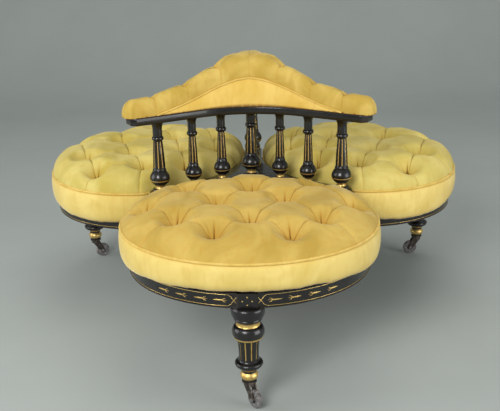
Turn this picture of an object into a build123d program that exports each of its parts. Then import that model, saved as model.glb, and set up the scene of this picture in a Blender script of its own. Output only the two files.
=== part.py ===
from build123d import *
import math
import os

# Three-seat conversation sofa. Sizes are in millimetres, +Z is up.
# The origin is on the floor, on the axis that the three seats stand round.
# The front seat lies towards -Y, and the three arms of the back lie between the seats.

SEAT_ANGLES = {"front": -90, "right": 30, "left": 150}
ARM_ANGLES = {"left": -150, "right": -30, "back": 90}
half_corner = 60

# Clearances
seat_gap = 0.2          # between flat wooden faces that bear on each other
soft_gap = 0.35         # between stuffed pieces and what they rest against
overrun = 5.0           # how far a cutting tool runs past a face

# Seat frames, the turned-edge rims under the cushions
frame_half_width = 310.0
frame_half_depth = 289.0
frame_bottom = 260.0
frame_height = 37.0
frame_wall = 32.0
frame_spacing = 38.4    # between two frames where they come closest
frame_top = frame_bottom + frame_height
bead_height = 3.0
bead_depth = 1.2

# Cushions
cushion_lip = 9.0       # how far the piping line stands outside the frame, over the leg
cushion_side_lip = 20.0  # the same at the seat's sides
piping_height = 369.0
piping_radius = 3.2
piping_clearance = 0.35
crown_rise = 52.0
crown_power = 6
pocket_height = 44.0    # the springs' pockets in the underside
pocket_clearance = 1.5
corner_radius = 70.0
tuft_radius = 24.0
tuft_depth = 33.0
tuft_floor_radius = 9.0
fold_width = 13.0
fold_depth = 9.0
button_radius = 7.5
button_height = 5.0

# Springs, webbing and dust cover
spring_radius = 31.0
spring_wire_radius = 1.9
spring_turns = 4
spring_circle = 138.0
spring_count = 6
web_width = 50.0
web_thickness = 1.5
web_pitch = 76.0
web_inset = 5.0
cover_thickness = 1.0
cover_inset = 8.0

# Platform between the seats
core_half_width = 22.0
core_notch = 80.0
core_end = 306.0
board_half_width = 27.0
board_notch = 88.0
board_end = 316.0
board_cant = 11.0
board_thickness = 16.0
board_rise = 11.0       # from the piping line to the platform's top
board_top = piping_height + board_rise
board_bottom = board_top - board_thickness

# Balusters
end_post_place = 290.5
outer_spindle_place = 187.0
inner_spindle_place = 96.5
post_radius = 28.0
spindle_radius = 23.5
tenon_radius = 7.0
board_tenon = 12.0
rail_tenon = 14.0
tenon_clearance = 0.15
flute_radius = 2.2
flute_count = 8

# Top rail
rail_rise = 199.0       # from the platform to the rail's underside
rail_bottom = board_top + rail_rise
rail_thickness = 21.0
rail_half_width = 29.0
rail_notch = 76.0
rail_end = 372.0
rail_cant = 13.0
rail_top = rail_bottom + rail_thickness

# Crest pad
crest_end = 384.0
crest_peak = 142.0
crest_button_radius = 6.0
crest_button_height = 4.0
crest_tuft_radius = 15.0
crest_tuft_depth = 8.0

# Legs
leg_place = 270.0       # seat centre to the leg's axis
leg_foot = 66.0
leg_radius = 39.5
leg_block_side = 46.0
block_clearance = 0.2
leg_flute_radius = 2.4
leg_flute_count = 10
brace_depth = 40.0
brace_width = 120.0
brace_height = 31.0
pivot_hole_depth = 44.0

# Casters
wheel_radius = 23.0
wheel_width = 12.0
wheel_edge = 3.0
hub_radius = 8.0
hub_width = 13.0
hub_gap = 0.25
axle_radius = 3.0
axle_clearance = 0.05
axle_head_radius = 4.6
axle_head = 1.6
trail = 21.0
fork_wall = 3.2
fork_boss_radius = 7.5
fork_crown_radius = 13.5
fork_crown_height = 9.0
plate_radius = 17.5
plate_thickness = 4.0
plate_gap = 0.4
pivot_radius = 4.0
pivot_clearance = 0.05
pivot_head_radius = 6.5
pivot_head = 2.4
pin_radius = 5.0
pin_clearance = 0.15
pin_length = 40.0
caster_turns = {"front": -50, "right": 185, "left": 20}

# Frame bolts
bolt_radius = 4.0
bolt_clearance = 0.3
bolt_spacing = 44.0
bolt_head_radius = 7.5
bolt_head = 5.0
spot_radius = 9.5
spot_depth = 7.0
drill_length = 8 * frame_wall

# Block between the frames
hub_half_width = 34.0
hub_notch = 95.0
hub_end = 300.0

# Turned profiles: height share, radius share, and how far the stretch bows out as a radius share
POST_SHARES = [
    (0.0, 0.73, 0.0), (0.040, 0.73, 0.06), (0.048, 0.50, 0.0), (0.085, 0.42, -0.05), (0.305, 0.62, 0.48),
    (0.322, 0.68, 0.03), (0.335, 0.61, 0.0), (0.735, 0.44, 0.02), (0.742, 0.52, 0.0), (0.790, 0.52, 0.06),
    (0.797, 0.47, 0.0), (0.880, 0.47, 0.0), (1.0, 0.73, -0.09)]
SPINDLE_SHARES = [
    (0.0, 0.73, 0.0), (0.040, 0.73, 0.06), (0.048, 0.50, 0.0), (0.085, 0.42, -0.05), (0.290, 0.58, 0.52),
    (0.305, 0.64, 0.03), (0.320, 0.57, 0.0), (0.735, 0.41, 0.02), (0.742, 0.58, 0.0), (0.790, 0.58, 0.06),
    (0.797, 0.50, 0.0), (0.880, 0.50, 0.0), (1.0, 0.74, -0.09)]
LEG_SHARES = [
    (0.0, 0.40, 0.0), (0.022, 0.40, 0.0), (0.120, 0.42, 0.13), (0.148, 0.45, -0.02), (0.200, 0.76, -0.06),
    (0.275, 0.66, 0.14), (0.290, 0.60, 0.0), (0.573, 0.68, -0.03), (0.585, 0.84, 0.0), (0.612, 0.91, 0.02),
    (0.740, 0.84, 0.09), (0.752, 0.72, 0.0), (0.808, 0.72, -0.04), (0.820, 0.82, 0.0), (0.856, 0.82, 0.04),
    (0.868, 0.94, 0.0), (0.985, 1.0, 0.04), (1.0, 0.94, 0.0)]
FLUTE_SPAN_SHARES = (0.352, 0.725)
LEG_FLUTE_SPAN_SHARES = (0.310, 0.560)

# Cushion sections: how far each stands out, as a share of the piping line
BOXING_SHARES = [(0.0, 0.968), (0.22, 1.004), (0.5, 1.017), (0.8, 1.010), (1.0, 0.998)]
CROWN_SHARES = [0.990, 0.965, 0.915, 0.83, 0.70, 0.50]
NECK_SHARE = 0.976
PIPING_SHARE = 0.992

# Tufts: shares of the half depth (towards the leg) and of the half width
FRONT_TUFT_SHARES = [
    (0.65, -0.235), (0.66, 0.31), (0.395, -0.53), (0.45, 0.02), (0.40, 0.54), (0.04, -0.80), (0.01, -0.245),
    (-0.055, 0.275), (0.01, 0.80), (-0.33, -0.51), (-0.325, 0.01), (-0.42, 0.515), (-0.66, -0.25), (-0.67, 0.27)]
SIDE_TUFT_SHARES = [
    (0.80, -0.21), (0.70, 0.305), (0.32, -0.61), (0.39, -0.02), (0.38, 0.55), (-0.01, -0.825), (-0.01, -0.34),
    (-0.04, 0.31), (0.0, 0.80), (-0.365, -0.57), (-0.365, -0.015), (-0.39, 0.53), (-0.65, -0.31), (-0.64, 0.19)]
fold_reach_share = 0.66

# Crest sections along an arm: place, side height, ridge height and half width.
# Places are shares of the arm, heights are shares of the peak and half widths of the rail's.
CREST_SHARES = [
    (0.0, 0.62, 1.0, 2.25), (0.10, 0.56, 0.985, 2.02), (0.19, 0.46, 0.90, 1.66), (0.275, 0.37, 0.755, 1.40),
    (0.39, 0.25, 0.67, 1.22), (0.53, 0.13, 0.475, 1.13), (0.66, 0.07, 0.43, 1.13), (0.78, 0.05, 0.315, 1.08),
    (0.90, 0.05, 0.325, 1.13), (0.965, 0.05, 0.28, 1.02)]
CREST_END_SHARE = (1.0, 0.09, 0.19, 0.86)
CREST_BUTTON_SHARES = [0.275, 0.53, 0.78]
SHOULDER_SHARE = (0.78, 0.72)       # of the half width, and of the rise from the side to the ridge

# A fork cheek's corners, as shares of the boss radius from the axle
CHEEK_CORNER_SHARES = [(0.94, 0.34), (0.97, -0.25), (-0.8, -0.6)]
CHEEK_CROWN_SHARE = 0.72


def around(angle, shape):
    """Turn a shape about the middle axis."""
    return Rot(0, 0, angle) * shape


def on_axis(distance, angle):
    """Give the plan point at a distance along a direction."""
    return distance * math.cos(math.radians(angle)), distance * math.sin(math.radians(angle))


def support(half_depth, half_width):
    """Give how far an ellipse reaches towards the neighbouring arm."""
    slope = math.radians(half_corner)
    return math.hypot(half_depth * math.sin(slope), half_width * math.cos(slope))


frame_reach = support(frame_half_depth, frame_half_width) + frame_spacing / 2
seat_offset = frame_reach / math.sin(math.radians(half_corner))
cushion_half_width = frame_half_width + cushion_side_lip
cushion_half_depth = frame_half_depth + cushion_lip
cushion_bottom = frame_top + soft_gap


def closed_face(edges):
    """Give the face inside a closed run of edges."""
    return Face(Wire(edges))


def rim_arcs(half_depth, half_width, first, last, pieces):
    """Give smoothly joined arcs that follow an ellipse from one turn to another."""
    step = (last - first) / pieces
    edges = []
    for i in range(pieces):
        turns = (first + i * step, first + (i + 1) * step)
        a, b = (Vector(half_depth * math.cos(turn), half_width * math.sin(turn)) for turn in turns)
        run_a, run_b = (
            Vector(-half_depth * math.sin(turn), half_width * math.cos(turn)).normalized() for turn in turns)
        span, sway, bend = b - a, (b - a).dot(run_a + run_b), 2 * (1 - run_a.dot(run_b))
        reach = (math.sqrt(sway ** 2 + bend * span.dot(span)) - sway) / bend
        knee_a, knee_b = a + run_a * reach, b - run_b * reach
        middle = (knee_a + knee_b) / 2
        edges += [TangentArc(a, middle, tangent=run_a), TangentArc(middle, b, tangent=knee_b - knee_a)]
    return edges


def ellipse_face(half_depth, half_width):
    """Give an ellipse made of circular arcs, centred on the seat."""
    return closed_face(rim_arcs(half_depth, half_width, 0, 2 * math.pi, 4))


def star_face(half_width, notch, end, cant):
    """Give the three-armed outline, with hollow corners and canted arm ends."""
    slope = math.radians(half_corner)
    hollow = (notch * math.sin(slope) - half_width) / (1 - math.sin(slope))
    start = (half_width + hollow) / math.tan(slope)

    def at(angle, along, across):
        cosine, sine = math.cos(math.radians(angle)), math.sin(math.radians(angle))
        return along * cosine - across * sine, along * sine + across * cosine

    edges = []
    angles = sorted(ARM_ANGLES.values())
    for index, angle in enumerate(angles):
        following = angles[(index + 1) % len(angles)]
        corners = [
            (start, -half_width), (end - cant, -half_width), (end, -half_width + cant),
            (end, half_width - cant), (end - cant, half_width), (start, half_width)]
        points = [at(angle, *corner) for corner in corners]
        edges += [Line(a, b) for a, b in zip(points, points[1:])]
        middle = on_axis(notch, angle + half_corner)
        edges.append(ThreePointArc(points[-1], middle, at(following, start, -half_width)))
    return closed_face(edges)


def seat_outline():
    """Give the piping line of a cushion, centred on the seat, with its leg side towards +X."""
    slope = math.radians(half_corner)
    clear = soft_gap + piping_radius
    margin = board_half_width + clear
    hollow = (board_notch * math.sin(slope) - board_half_width) / (1 - math.sin(slope)) - clear
    hollow_centre = board_notch + clear + hollow - seat_offset
    start = (margin + hollow) / math.tan(slope)
    reach = math.hypot(cushion_half_depth * math.sin(slope), cushion_half_width * math.cos(slope))
    lead = math.atan2(cushion_half_width * math.cos(slope), cushion_half_depth * math.sin(slope))
    last = math.acos((margin - seat_offset * math.sin(slope)) / reach) - lead

    def on_arm(along, side):
        x = along * math.cos(slope) + margin * math.sin(slope) - seat_offset
        return x, side * (along * math.sin(slope) - margin * math.cos(slope))

    def on_rim(turn):
        return cushion_half_depth * math.cos(turn), cushion_half_width * math.sin(turn)

    edges = rim_arcs(cushion_half_depth, cushion_half_width, -last, last, 4)
    edges.append(Line(on_rim(last), on_arm(start, 1)))
    edges.append(ThreePointArc(on_arm(start, 1), (hollow_centre - hollow, 0), on_arm(start, -1)))
    edges.append(Line(on_arm(start, -1), on_rim(-last)))
    face = closed_face(edges)
    corners = [v for v in face.vertices() if (Vector(v.X, v.Y) - Vector(*on_rim(last))).length < soft_gap
               or (Vector(v.X, v.Y) - Vector(*on_rim(-last))).length < soft_gap]
    return fillet(corners, radius=corner_radius).face()


def crown_height(share):
    """Give the height of the crown at a share of the way out to the piping."""
    return piping_height + crown_rise * math.sqrt(max(0.0, 1 - min(share, 1) ** crown_power))


def seat_place(shape, height=0.0):
    """Move a shape from the seat's own centre to the seat that lies towards +X."""
    return Pos(seat_offset, 0, height) * shape


def tuft_points(shares):
    """Give each tuft's plan place in the seat's own frame and the crown's height there."""
    points = []
    for depth_share, width_share in shares:
        away = math.hypot(depth_share, width_share)
        plan = (depth_share * cushion_half_depth, width_share * cushion_half_width)
        points.append((*plan, crown_height(away)))
    return points


def fold_pairs(points):
    """Give the pairs of tufts that a fold joins."""
    reach = fold_reach_share * cushion_half_width
    pairs = []
    for i, a in enumerate(points):
        for b in points[i + 1:]:
            if math.dist(a[:2], b[:2]) < reach and min(abs(a[0] - b[0]), abs(a[1] - b[1])) > tuft_radius:
                pairs.append((a, b))
    return pairs


def fold_cutter(a, b):
    """Give the wedge that presses a fold between two tufts."""
    start, finish = Vector(*a), Vector(*b)
    along = (finish - start).normalized()
    side = Vector(0, 0, 1).cross(along).normalized()
    plane = Plane(origin=start, x_dir=side, z_dir=along)
    section = Polyline((-fold_width, overrun), (0, -fold_depth), (fold_width, overrun), close=True)
    return extrude(plane * make_face(section), amount=(finish - start).length)


def tuft_cutter(point):
    """Give the cone that presses a tuft down to its button."""
    x, y, top = point
    height = tuft_depth + overrun
    rim = tuft_radius + (tuft_radius - tuft_floor_radius) * overrun / tuft_depth
    return Pos(x, y, top - tuft_depth + height / 2) * Cone(tuft_floor_radius, rim, height)


def cushion(shares):
    """Give a seat cushion: drawn-in boxing, a neck for the piping, and a tufted crown."""
    outline = seat_outline()

    def section(share, height):
        return Pos(0, 0, height) * scale(outline, by=share)

    neck_half = piping_radius + piping_clearance
    boxing_height = piping_height - neck_half - cushion_bottom
    boxing = loft([section(share, cushion_bottom + part * boxing_height) for part, share in BOXING_SHARES])
    neck = extrude(section(NECK_SHARE, piping_height - neck_half), amount=2 * neck_half)
    first = neck_half - (crown_height(CROWN_SHARES[0]) - piping_height)
    last = len(CROWN_SHARES) - 1
    heights = [crown_height(share) + first * (1 - i / last) for i, share in enumerate(CROWN_SHARES)]
    crown = loft([section(share, height) for share, height in zip(CROWN_SHARES, heights)])
    body = boxing + neck + crown
    points = tuft_points(shares)
    tools = [tuft_cutter(point) for point in points] + [fold_cutter(a, b) for a, b in fold_pairs(points)]
    pocket = Cylinder(spring_radius + spring_wire_radius + pocket_clearance, 2 * pocket_height)
    tools += [Pos(x, y, cushion_bottom) * pocket for x, y in spring_places()]
    return seat_place(body.cut(*tools))


def seat_piping():
    """Give the covered cord round a cushion's top edge."""
    path = (Pos(0, 0, piping_height) * scale(seat_outline(), by=PIPING_SHARE)).face().outer_wire()
    start = path @ 0
    section = Plane(origin=start, z_dir=path % 0) * Circle(piping_radius)
    return seat_place(sweep(section, path=path))


def button(radius, height):
    """Give a domed covered button, lying on the plane through its origin."""
    dome = (radius * radius + height * height) / (2 * height)
    ball = Pos(0, 0, height - dome) * Sphere(dome)
    block = Pos(0, 0, height / 2) * Cylinder(radius, height)
    return ball & block


def seat_buttons(shares):
    """Give the covered buttons at the foot of the tufts."""
    one = button(button_radius, button_height)
    return [seat_place(Pos(x, y, top - tuft_depth + soft_gap) * one) for x, y, top in tuft_points(shares)]


def seat_frame():
    """Give one seat's round frame, beaded at both edges and notched for the leg's block."""
    outer = ellipse_face(frame_half_depth, frame_half_width)
    waist = ellipse_face(frame_half_depth - bead_depth, frame_half_width - bead_depth)
    inner = ellipse_face(frame_half_depth - frame_wall, frame_half_width - frame_wall)
    bead = extrude(outer, amount=bead_height)
    ring = extrude(waist, amount=frame_height) + bead + Pos(0, 0, frame_height - bead_height) * bead
    ring -= Pos(0, 0, -overrun) * extrude(inner, amount=frame_height + 2 * overrun)
    side = leg_block_side + 2 * block_clearance
    ring -= Pos(leg_place, 0, frame_height / 2) * Box(side, side, frame_height + 2 * overrun)
    ring = seat_place(ring, frame_bottom)
    for hole in bolt_lines():
        ring -= hole
    return ring


def bolt_lines():
    """Give the drilled and spot-faced holes that join the frame towards +X to its neighbours."""
    drill = Cylinder(bolt_radius + bolt_clearance, drill_length)
    far = frame_spacing / 2 + frame_wall - spot_depth
    spot = Pos(0, 0, far + frame_wall / 2) * Cylinder(spot_radius, frame_wall)
    spot += Pos(0, 0, -far - frame_wall / 2) * Cylinder(spot_radius, frame_wall)
    places = [(angle, side) for angle in (half_corner, -half_corner) for side in (-1, 1)]
    return [bolt_place(angle, side, drill + spot) for angle, side in places]


def touch_distance():
    """Give how far along an arm two frames come closest."""
    slope = math.radians(half_corner)
    reach = support(frame_half_depth, frame_half_width)
    depth = frame_half_depth ** 2 * math.sin(slope) / reach
    width = frame_half_width ** 2 * math.cos(slope) / reach
    return (seat_offset - depth) * math.cos(slope) + width * math.sin(slope)


def bolt_place(angle, side, shape):
    """Lay a shape made along +Z across an arm, at one of its two bolt places."""
    along = touch_distance() + side * bolt_spacing / 2
    x, y = on_axis(along, angle)
    return Pos(x, y, frame_bottom + frame_height / 2) * Rot(0, 0, angle) * Rot(90, 0, 0) * shape


def frame_bolts():
    """Give the six bolts with a head and a nut each, seated in the frames' spot-faced holes."""
    grip = frame_spacing / 2 + frame_wall - spot_depth
    shank = Cylinder(bolt_radius, 2 * (grip + bolt_head))
    head = extrude(RegularPolygon(bolt_head_radius, 6), amount=bolt_head)
    one = shank + Pos(0, 0, grip + seat_gap) * head + Pos(0, 0, -grip - seat_gap - bolt_head) * head
    return [bolt_place(angle, side, one) for angle in ARM_ANGLES.values() for side in (-1, 1)]


def hub_block():
    """Give the three-armed block that fills the space between the frames and joins them."""
    star = star_face(hub_half_width, hub_notch, hub_end, board_cant)
    block = extrude(star, amount=frame_height - 2 * seat_gap)
    rim = ellipse_face(frame_half_depth + seat_gap, frame_half_width + seat_gap)
    hollow = extrude(rim, amount=frame_height)
    tools = [around(angle, seat_place(hollow)) for angle in SEAT_ANGLES.values()]
    lowered = Pos(0, 0, -frame_bottom)
    drill = Cylinder(bolt_radius + bolt_clearance, drill_length)
    tools += [lowered * bolt_place(angle, side, drill) for angle in ARM_ANGLES.values() for side in (-1, 1)]
    return Pos(0, 0, frame_bottom + seat_gap) * block.cut(*tools)


def turned(shares, height, radius):
    """Give a turned piece that stands on the origin."""
    points = [(radius_share * radius, height_share * height) for height_share, radius_share, _ in shares]
    edges = [Line((0, 0), points[0])]
    for before, after, (_, _, bow_share) in zip(points, points[1:], shares[1:]):
        if bow_share == 0:
            edges.append(Line(before, after))
            continue
        run = Vector(after[0] - before[0], after[1] - before[1])
        outward = Vector(run.Y, -run.X).normalized() * bow_share * radius
        middle = ((before[0] + after[0]) / 2 + outward.X, (before[1] + after[1]) / 2 + outward.Y)
        edges.append(ThreePointArc(before, middle, after))
    edges += [Line(points[-1], (0, height)), Line((0, height), (0, 0))]
    return revolve(Plane.XZ * closed_face(edges), axis=Axis.Z)


def fluted(body, shares, span_shares, height, radius, groove, count):
    """Cut the flutes of a turned piece's tapering shaft."""
    low, high = (share * height for share in span_shares)

    def shaft_radius(level):
        for (z_a, r_a, _), (z_b, r_b, _) in zip(shares, shares[1:]):
            if z_a * height <= level <= z_b * height:
                return radius * (r_a + (r_b - r_a) * (level / height - z_a) / (z_b - z_a))
        return radius

    start, finish = Vector(shaft_radius(low), 0, low), Vector(shaft_radius(high), 0, high)
    tool = extrude(Plane(origin=start, z_dir=finish - start) * Circle(groove), amount=(finish - start).length)
    tool = tool + Pos(*start) * Sphere(groove) + Pos(*finish) * Sphere(groove)
    return body.cut(*[around(i * 360 / count, tool) for i in range(count)])


def baluster(shares, radius):
    """Give a baluster with its two tenons, standing on the board's top."""
    height = rail_bottom - board_top - 2 * seat_gap
    body = turned(shares, height, radius)
    body = fluted(body, shares, FLUTE_SPAN_SHARES, height, radius, flute_radius, flute_count)
    length = height + board_tenon + rail_tenon
    tenons = Pos(0, 0, height / 2 + (rail_tenon - board_tenon) / 2) * Cylinder(tenon_radius, length)
    return Pos(0, 0, board_top + seat_gap) * (body + tenons)


def baluster_places():
    """Give every baluster's name, plan place and kind."""
    places = [("centre_post", (0, 0), "post")]
    for arm, angle in ARM_ANGLES.items():
        places.append((arm + "_end_post", on_axis(end_post_place, angle), "post"))
        places.append((arm + "_outer_spindle", on_axis(outer_spindle_place, angle), "spindle"))
        places.append((arm + "_inner_spindle", on_axis(inner_spindle_place, angle), "spindle"))
    return places


def tenon_holes(bottom, depth):
    """Give the round holes that take the balusters' tenons."""
    tool = Pos(0, 0, bottom + depth / 2) * Cylinder(tenon_radius + tenon_clearance, depth)
    return [Pos(x, y, 0) * tool for _, (x, y), _ in baluster_places()]


def platform_core():
    """Give the three-armed block that carries the platform board on the frames."""
    height = board_bottom - frame_top - 2 * seat_gap
    star = star_face(core_half_width, core_notch, core_end, board_cant)
    return Pos(0, 0, frame_top + seat_gap) * extrude(star, amount=height)


def platform_board():
    """Give the three-armed board that the balusters stand on."""
    star = star_face(board_half_width, board_notch, board_end, board_cant)
    board = Pos(0, 0, board_bottom) * extrude(star, amount=board_thickness)
    return board.cut(*tenon_holes(board_top - board_tenon - tenon_clearance, board_tenon + overrun))


def back_rail():
    """Give the three-armed top rail."""
    star = star_face(rail_half_width, rail_notch, rail_end, rail_cant)
    rail = Pos(0, 0, rail_bottom) * extrude(star, amount=rail_thickness)
    return rail.cut(*tenon_holes(rail_bottom - overrun, rail_tenon + tenon_clearance + overrun))


def crest_section(share, side_share, ridge_share, width_share):
    """Give the pad's section across an arm that points towards +X."""
    half = width_share * rail_half_width
    side = side_share * crest_peak
    ridge = ridge_share * crest_peak
    shoulder = (SHOULDER_SHARE[0] * half, side + SHOULDER_SHARE[1] * (ridge - side))
    edges = [
        Line((-half, 0), (half, 0)), Line((half, 0), (half, side)),
        ThreePointArc((half, side), shoulder, (0, ridge)),
        ThreePointArc((0, ridge), (-shoulder[0], shoulder[1]), (-half, side)),
        Line((-half, side), (-half, 0))]
    plane = Plane(origin=(share * crest_end, 0, rail_top + soft_gap), x_dir=(0, 1, 0), z_dir=(1, 0, 0))
    return plane * closed_face(edges)


def crest_arm():
    """Give one arm of the pad, from the middle axis to its rounded end."""
    return loft([crest_section(*row) for row in CREST_SHARES + [CREST_END_SHARE]])


def crest_tufts():
    """Give the place along an arm and the ridge height of each tuft of the pad."""
    return [(row[0] * crest_end, rail_top + soft_gap + row[2] * crest_peak) for row in CREST_SHARES
            if row[0] in CREST_BUTTON_SHARES]


def crest_pad():
    """Give the whole pad: three ridges that rise to the middle, with a tuft pressed in at each button."""
    arm = crest_arm()
    depth = crest_tuft_depth + overrun
    rim = crest_tuft_radius * depth / crest_tuft_depth
    cone = Cone(crest_button_radius + soft_gap, rim, depth)
    arm = arm.cut(*[Pos(x, 0, z - crest_tuft_depth + depth / 2) * cone for x, z in crest_tufts()])
    arms = [around(angle, arm) for angle in ARM_ANGLES.values()]
    return arms[0] + arms[1] + arms[2]


def crest_buttons():
    """Give the covered buttons along the three ridges."""
    one = button(crest_button_radius, crest_button_height)
    return [around(angle, Pos(x, 0, z - crest_tuft_depth + soft_gap) * one)
            for angle in ARM_ANGLES.values() for x, z in crest_tufts()]


def leg():
    """Give a turned leg with its square top block, standing on its foot."""
    height = frame_bottom - leg_foot - seat_gap
    flutes = (leg_flute_radius, leg_flute_count)
    body = turned(LEG_SHARES, height, leg_radius)
    body = fluted(body, LEG_SHARES, LEG_FLUTE_SPAN_SHARES, height, leg_radius, *flutes)
    block_height = frame_top - frame_bottom + seat_gap
    body += Pos(0, 0, height + block_height / 2) * Box(leg_block_side, leg_block_side, block_height)
    body -= Pos(0, 0, pivot_hole_depth / 2) * Cylinder(pin_radius + pin_clearance, pivot_hole_depth)
    return leg_position(body, leg_foot)


def leg_position(shape, height=0.0):
    """Move a shape from a leg's own axis to the seat that lies towards +X."""
    return Pos(seat_offset + leg_place, 0, height) * shape


def leg_brace():
    """Give the glued block inside the frame, behind the leg."""
    inner = ellipse_face(frame_half_depth - frame_wall - seat_gap, frame_half_width - frame_wall - seat_gap)
    near = leg_place - leg_block_side / 2 - brace_depth
    block = extrude(inner, amount=brace_height)
    block &= Pos(near + brace_depth, 0, brace_height / 2) * Box(2 * brace_depth, brace_width, brace_height)
    side = leg_block_side + 2 * seat_gap
    block -= Pos(leg_place, 0, brace_height / 2) * Box(side, side, brace_height + 2 * overrun)
    return seat_place(block, frame_bottom)


def chord(half, other_half, offset):
    """Give half the length of an ellipse's chord at an offset from its centre."""
    return half * math.sqrt(max(0.0, 1 - (offset / other_half) ** 2))


def seat_webbing():
    """Give the two crossed layers of webbing under a frame."""
    depth = frame_half_depth - web_inset
    width = frame_half_width - web_inset
    upper = frame_bottom - seat_gap - web_thickness / 2
    lower = upper - web_thickness
    straps = []
    for i in range(-2, 3):
        far = abs(i) * web_pitch + web_width / 2
        across = chord(width, depth, far)
        straps.append(seat_place(Pos(i * web_pitch, 0, upper) * Box(web_width, 2 * across, web_thickness)))
    for i in (-3, -2, -1, 1, 2, 3):
        far = abs(i) * web_pitch + web_width / 2
        along = chord(depth, width, far)
        straps.append(seat_place(Pos(0, i * web_pitch, lower) * Box(2 * along, web_width, web_thickness)))
    return straps


def spring_places():
    """Give the plan places of a seat's springs in the seat's own frame."""
    return [(0, 0)] + [on_axis(spring_circle, (i + 0.5) * 360 / spring_count) for i in range(spring_count)]


def seat_springs():
    """Give the coil springs that stand on the webbing and reach into the cushion's pockets."""
    bottom = frame_bottom - seat_gap + spring_wire_radius
    top = cushion_bottom + pocket_height - soft_gap - spring_wire_radius
    path = Helix(pitch=(top - bottom) / spring_turns, height=top - bottom, radius=spring_radius)
    section = Plane(origin=path @ 0, z_dir=path % 0) * Circle(spring_wire_radius)
    one = Pos(0, 0, bottom) * sweep(section, path=path, is_frenet=True)
    return [seat_place(Pos(x, y, 0) * one) for x, y in spring_places()]


def dust_cover():
    """Give the cloth tacked under the webbing, cut away round the leg."""
    top = frame_bottom - 2 * seat_gap - 2 * web_thickness
    face = ellipse_face(frame_half_depth - cover_inset, frame_half_width - cover_inset)
    sheet = extrude(face, amount=-cover_thickness)
    hole = Cylinder(leg_radius + overrun / 2, 4 * overrun)
    return seat_place(sheet - Pos(leg_place, 0, 0) * hole, top)


def caster_plate():
    """Give the fixed part of a caster: pin, plate, pivot and riveted pivot head."""
    crown_bottom = leg_foot - plate_thickness - plate_gap - fork_crown_height
    head_top = crown_bottom - plate_gap
    parts = Pos(0, 0, leg_foot - seat_gap - plate_thickness / 2) * Cylinder(plate_radius, plate_thickness)
    parts += Pos(0, 0, leg_foot - seat_gap + pin_length / 2) * Cylinder(pin_radius, pin_length)
    pivot = leg_foot - plate_thickness - head_top + pivot_head / 2
    parts += Pos(0, 0, head_top - pivot_head / 2 + pivot / 2) * Cylinder(pivot_radius, pivot)
    parts += Pos(0, 0, head_top - pivot_head / 2) * Cylinder(pivot_head_radius, pivot_head)
    return leg_position(parts)


def fork_cheek():
    """Give one cheek of the fork, standing in the XZ plane."""
    top = leg_foot - plate_thickness - plate_gap - seat_gap
    half = CHEEK_CROWN_SHARE * fork_crown_radius
    radius = fork_boss_radius
    corners = [(trail + out * radius, wheel_radius + up * radius) for out, up in CHEEK_CORNER_SHARES]
    corners = [(-half, top), (half, top)] + corners + [(-half, top - fork_crown_height)]
    boss = Pos(trail, wheel_radius) * Circle(radius)
    arm = make_face(Polyline(*corners, close=True))
    return extrude(Plane.XZ * (arm + boss), amount=fork_wall / 2, both=True)


def caster_fork():
    """Give the fork, trailing towards +X."""
    crown_top = leg_foot - plate_thickness - plate_gap - seat_gap
    across = hub_width / 2 + hub_gap + fork_wall / 2
    crown = Pos(0, 0, crown_top - fork_crown_height / 2) * Cylinder(fork_crown_radius, fork_crown_height)
    body = crown + Pos(0, across, 0) * fork_cheek() + Pos(0, -across, 0) * fork_cheek()
    body -= Pos(0, 0, crown_top) * Cylinder(pivot_radius + pivot_clearance, 4 * fork_crown_height)
    hole = Cylinder(axle_radius + axle_clearance, 4 * across)
    return body - Pos(trail, 0, wheel_radius) * Rot(90, 0, 0) * hole


def caster_axle():
    """Give the riveted axle across the fork."""
    half = hub_width / 2 + hub_gap + fork_wall + seat_gap
    shaft = Cylinder(axle_radius, 2 * half)
    head = Cylinder(axle_head_radius, axle_head)
    axle = shaft + Pos(0, 0, half + axle_head / 2) * head + Pos(0, 0, -half - axle_head / 2) * head
    return Pos(trail, 0, wheel_radius) * Rot(90, 0, 0) * axle


def caster_wheel():
    """Give the wheel with its crowned tread and hub."""
    half = wheel_width / 2
    flat = wheel_radius - wheel_edge
    corners = [(flat, half), (0, half), (0, -half), (flat, -half)]
    edges = [Line(a, b) for a, b in zip(corners, corners[1:])]
    edges.append(ThreePointArc(corners[-1], (wheel_radius, 0), corners[0]))
    wheel = revolve(Plane.XZ * closed_face(edges), axis=Axis.Z) + Cylinder(hub_radius, hub_width)
    wheel -= Cylinder(axle_radius + axle_clearance, 2 * hub_width)
    return Pos(trail, 0, wheel_radius) * Rot(90, 0, 0) * wheel


def write(name, shapes):
    """Write one node's solids to its file."""
    solids = []
    for shape in shapes if isinstance(shapes, list) else [shapes]:
        solids += shape.solids()
    body = solids[0] if len(solids) == 1 else Compound(solids)
    body.label = name
    export_step(body, os.path.join("parts", name + ".step"))
    print(name, len(solids), round(sum(solid.volume for solid in solids)))


def turn_all(angle, shapes):
    """Turn one shape or a list of shapes about the middle axis."""
    return [around(angle, shape) for shape in shapes] if isinstance(shapes, list) else around(angle, shapes)


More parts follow.
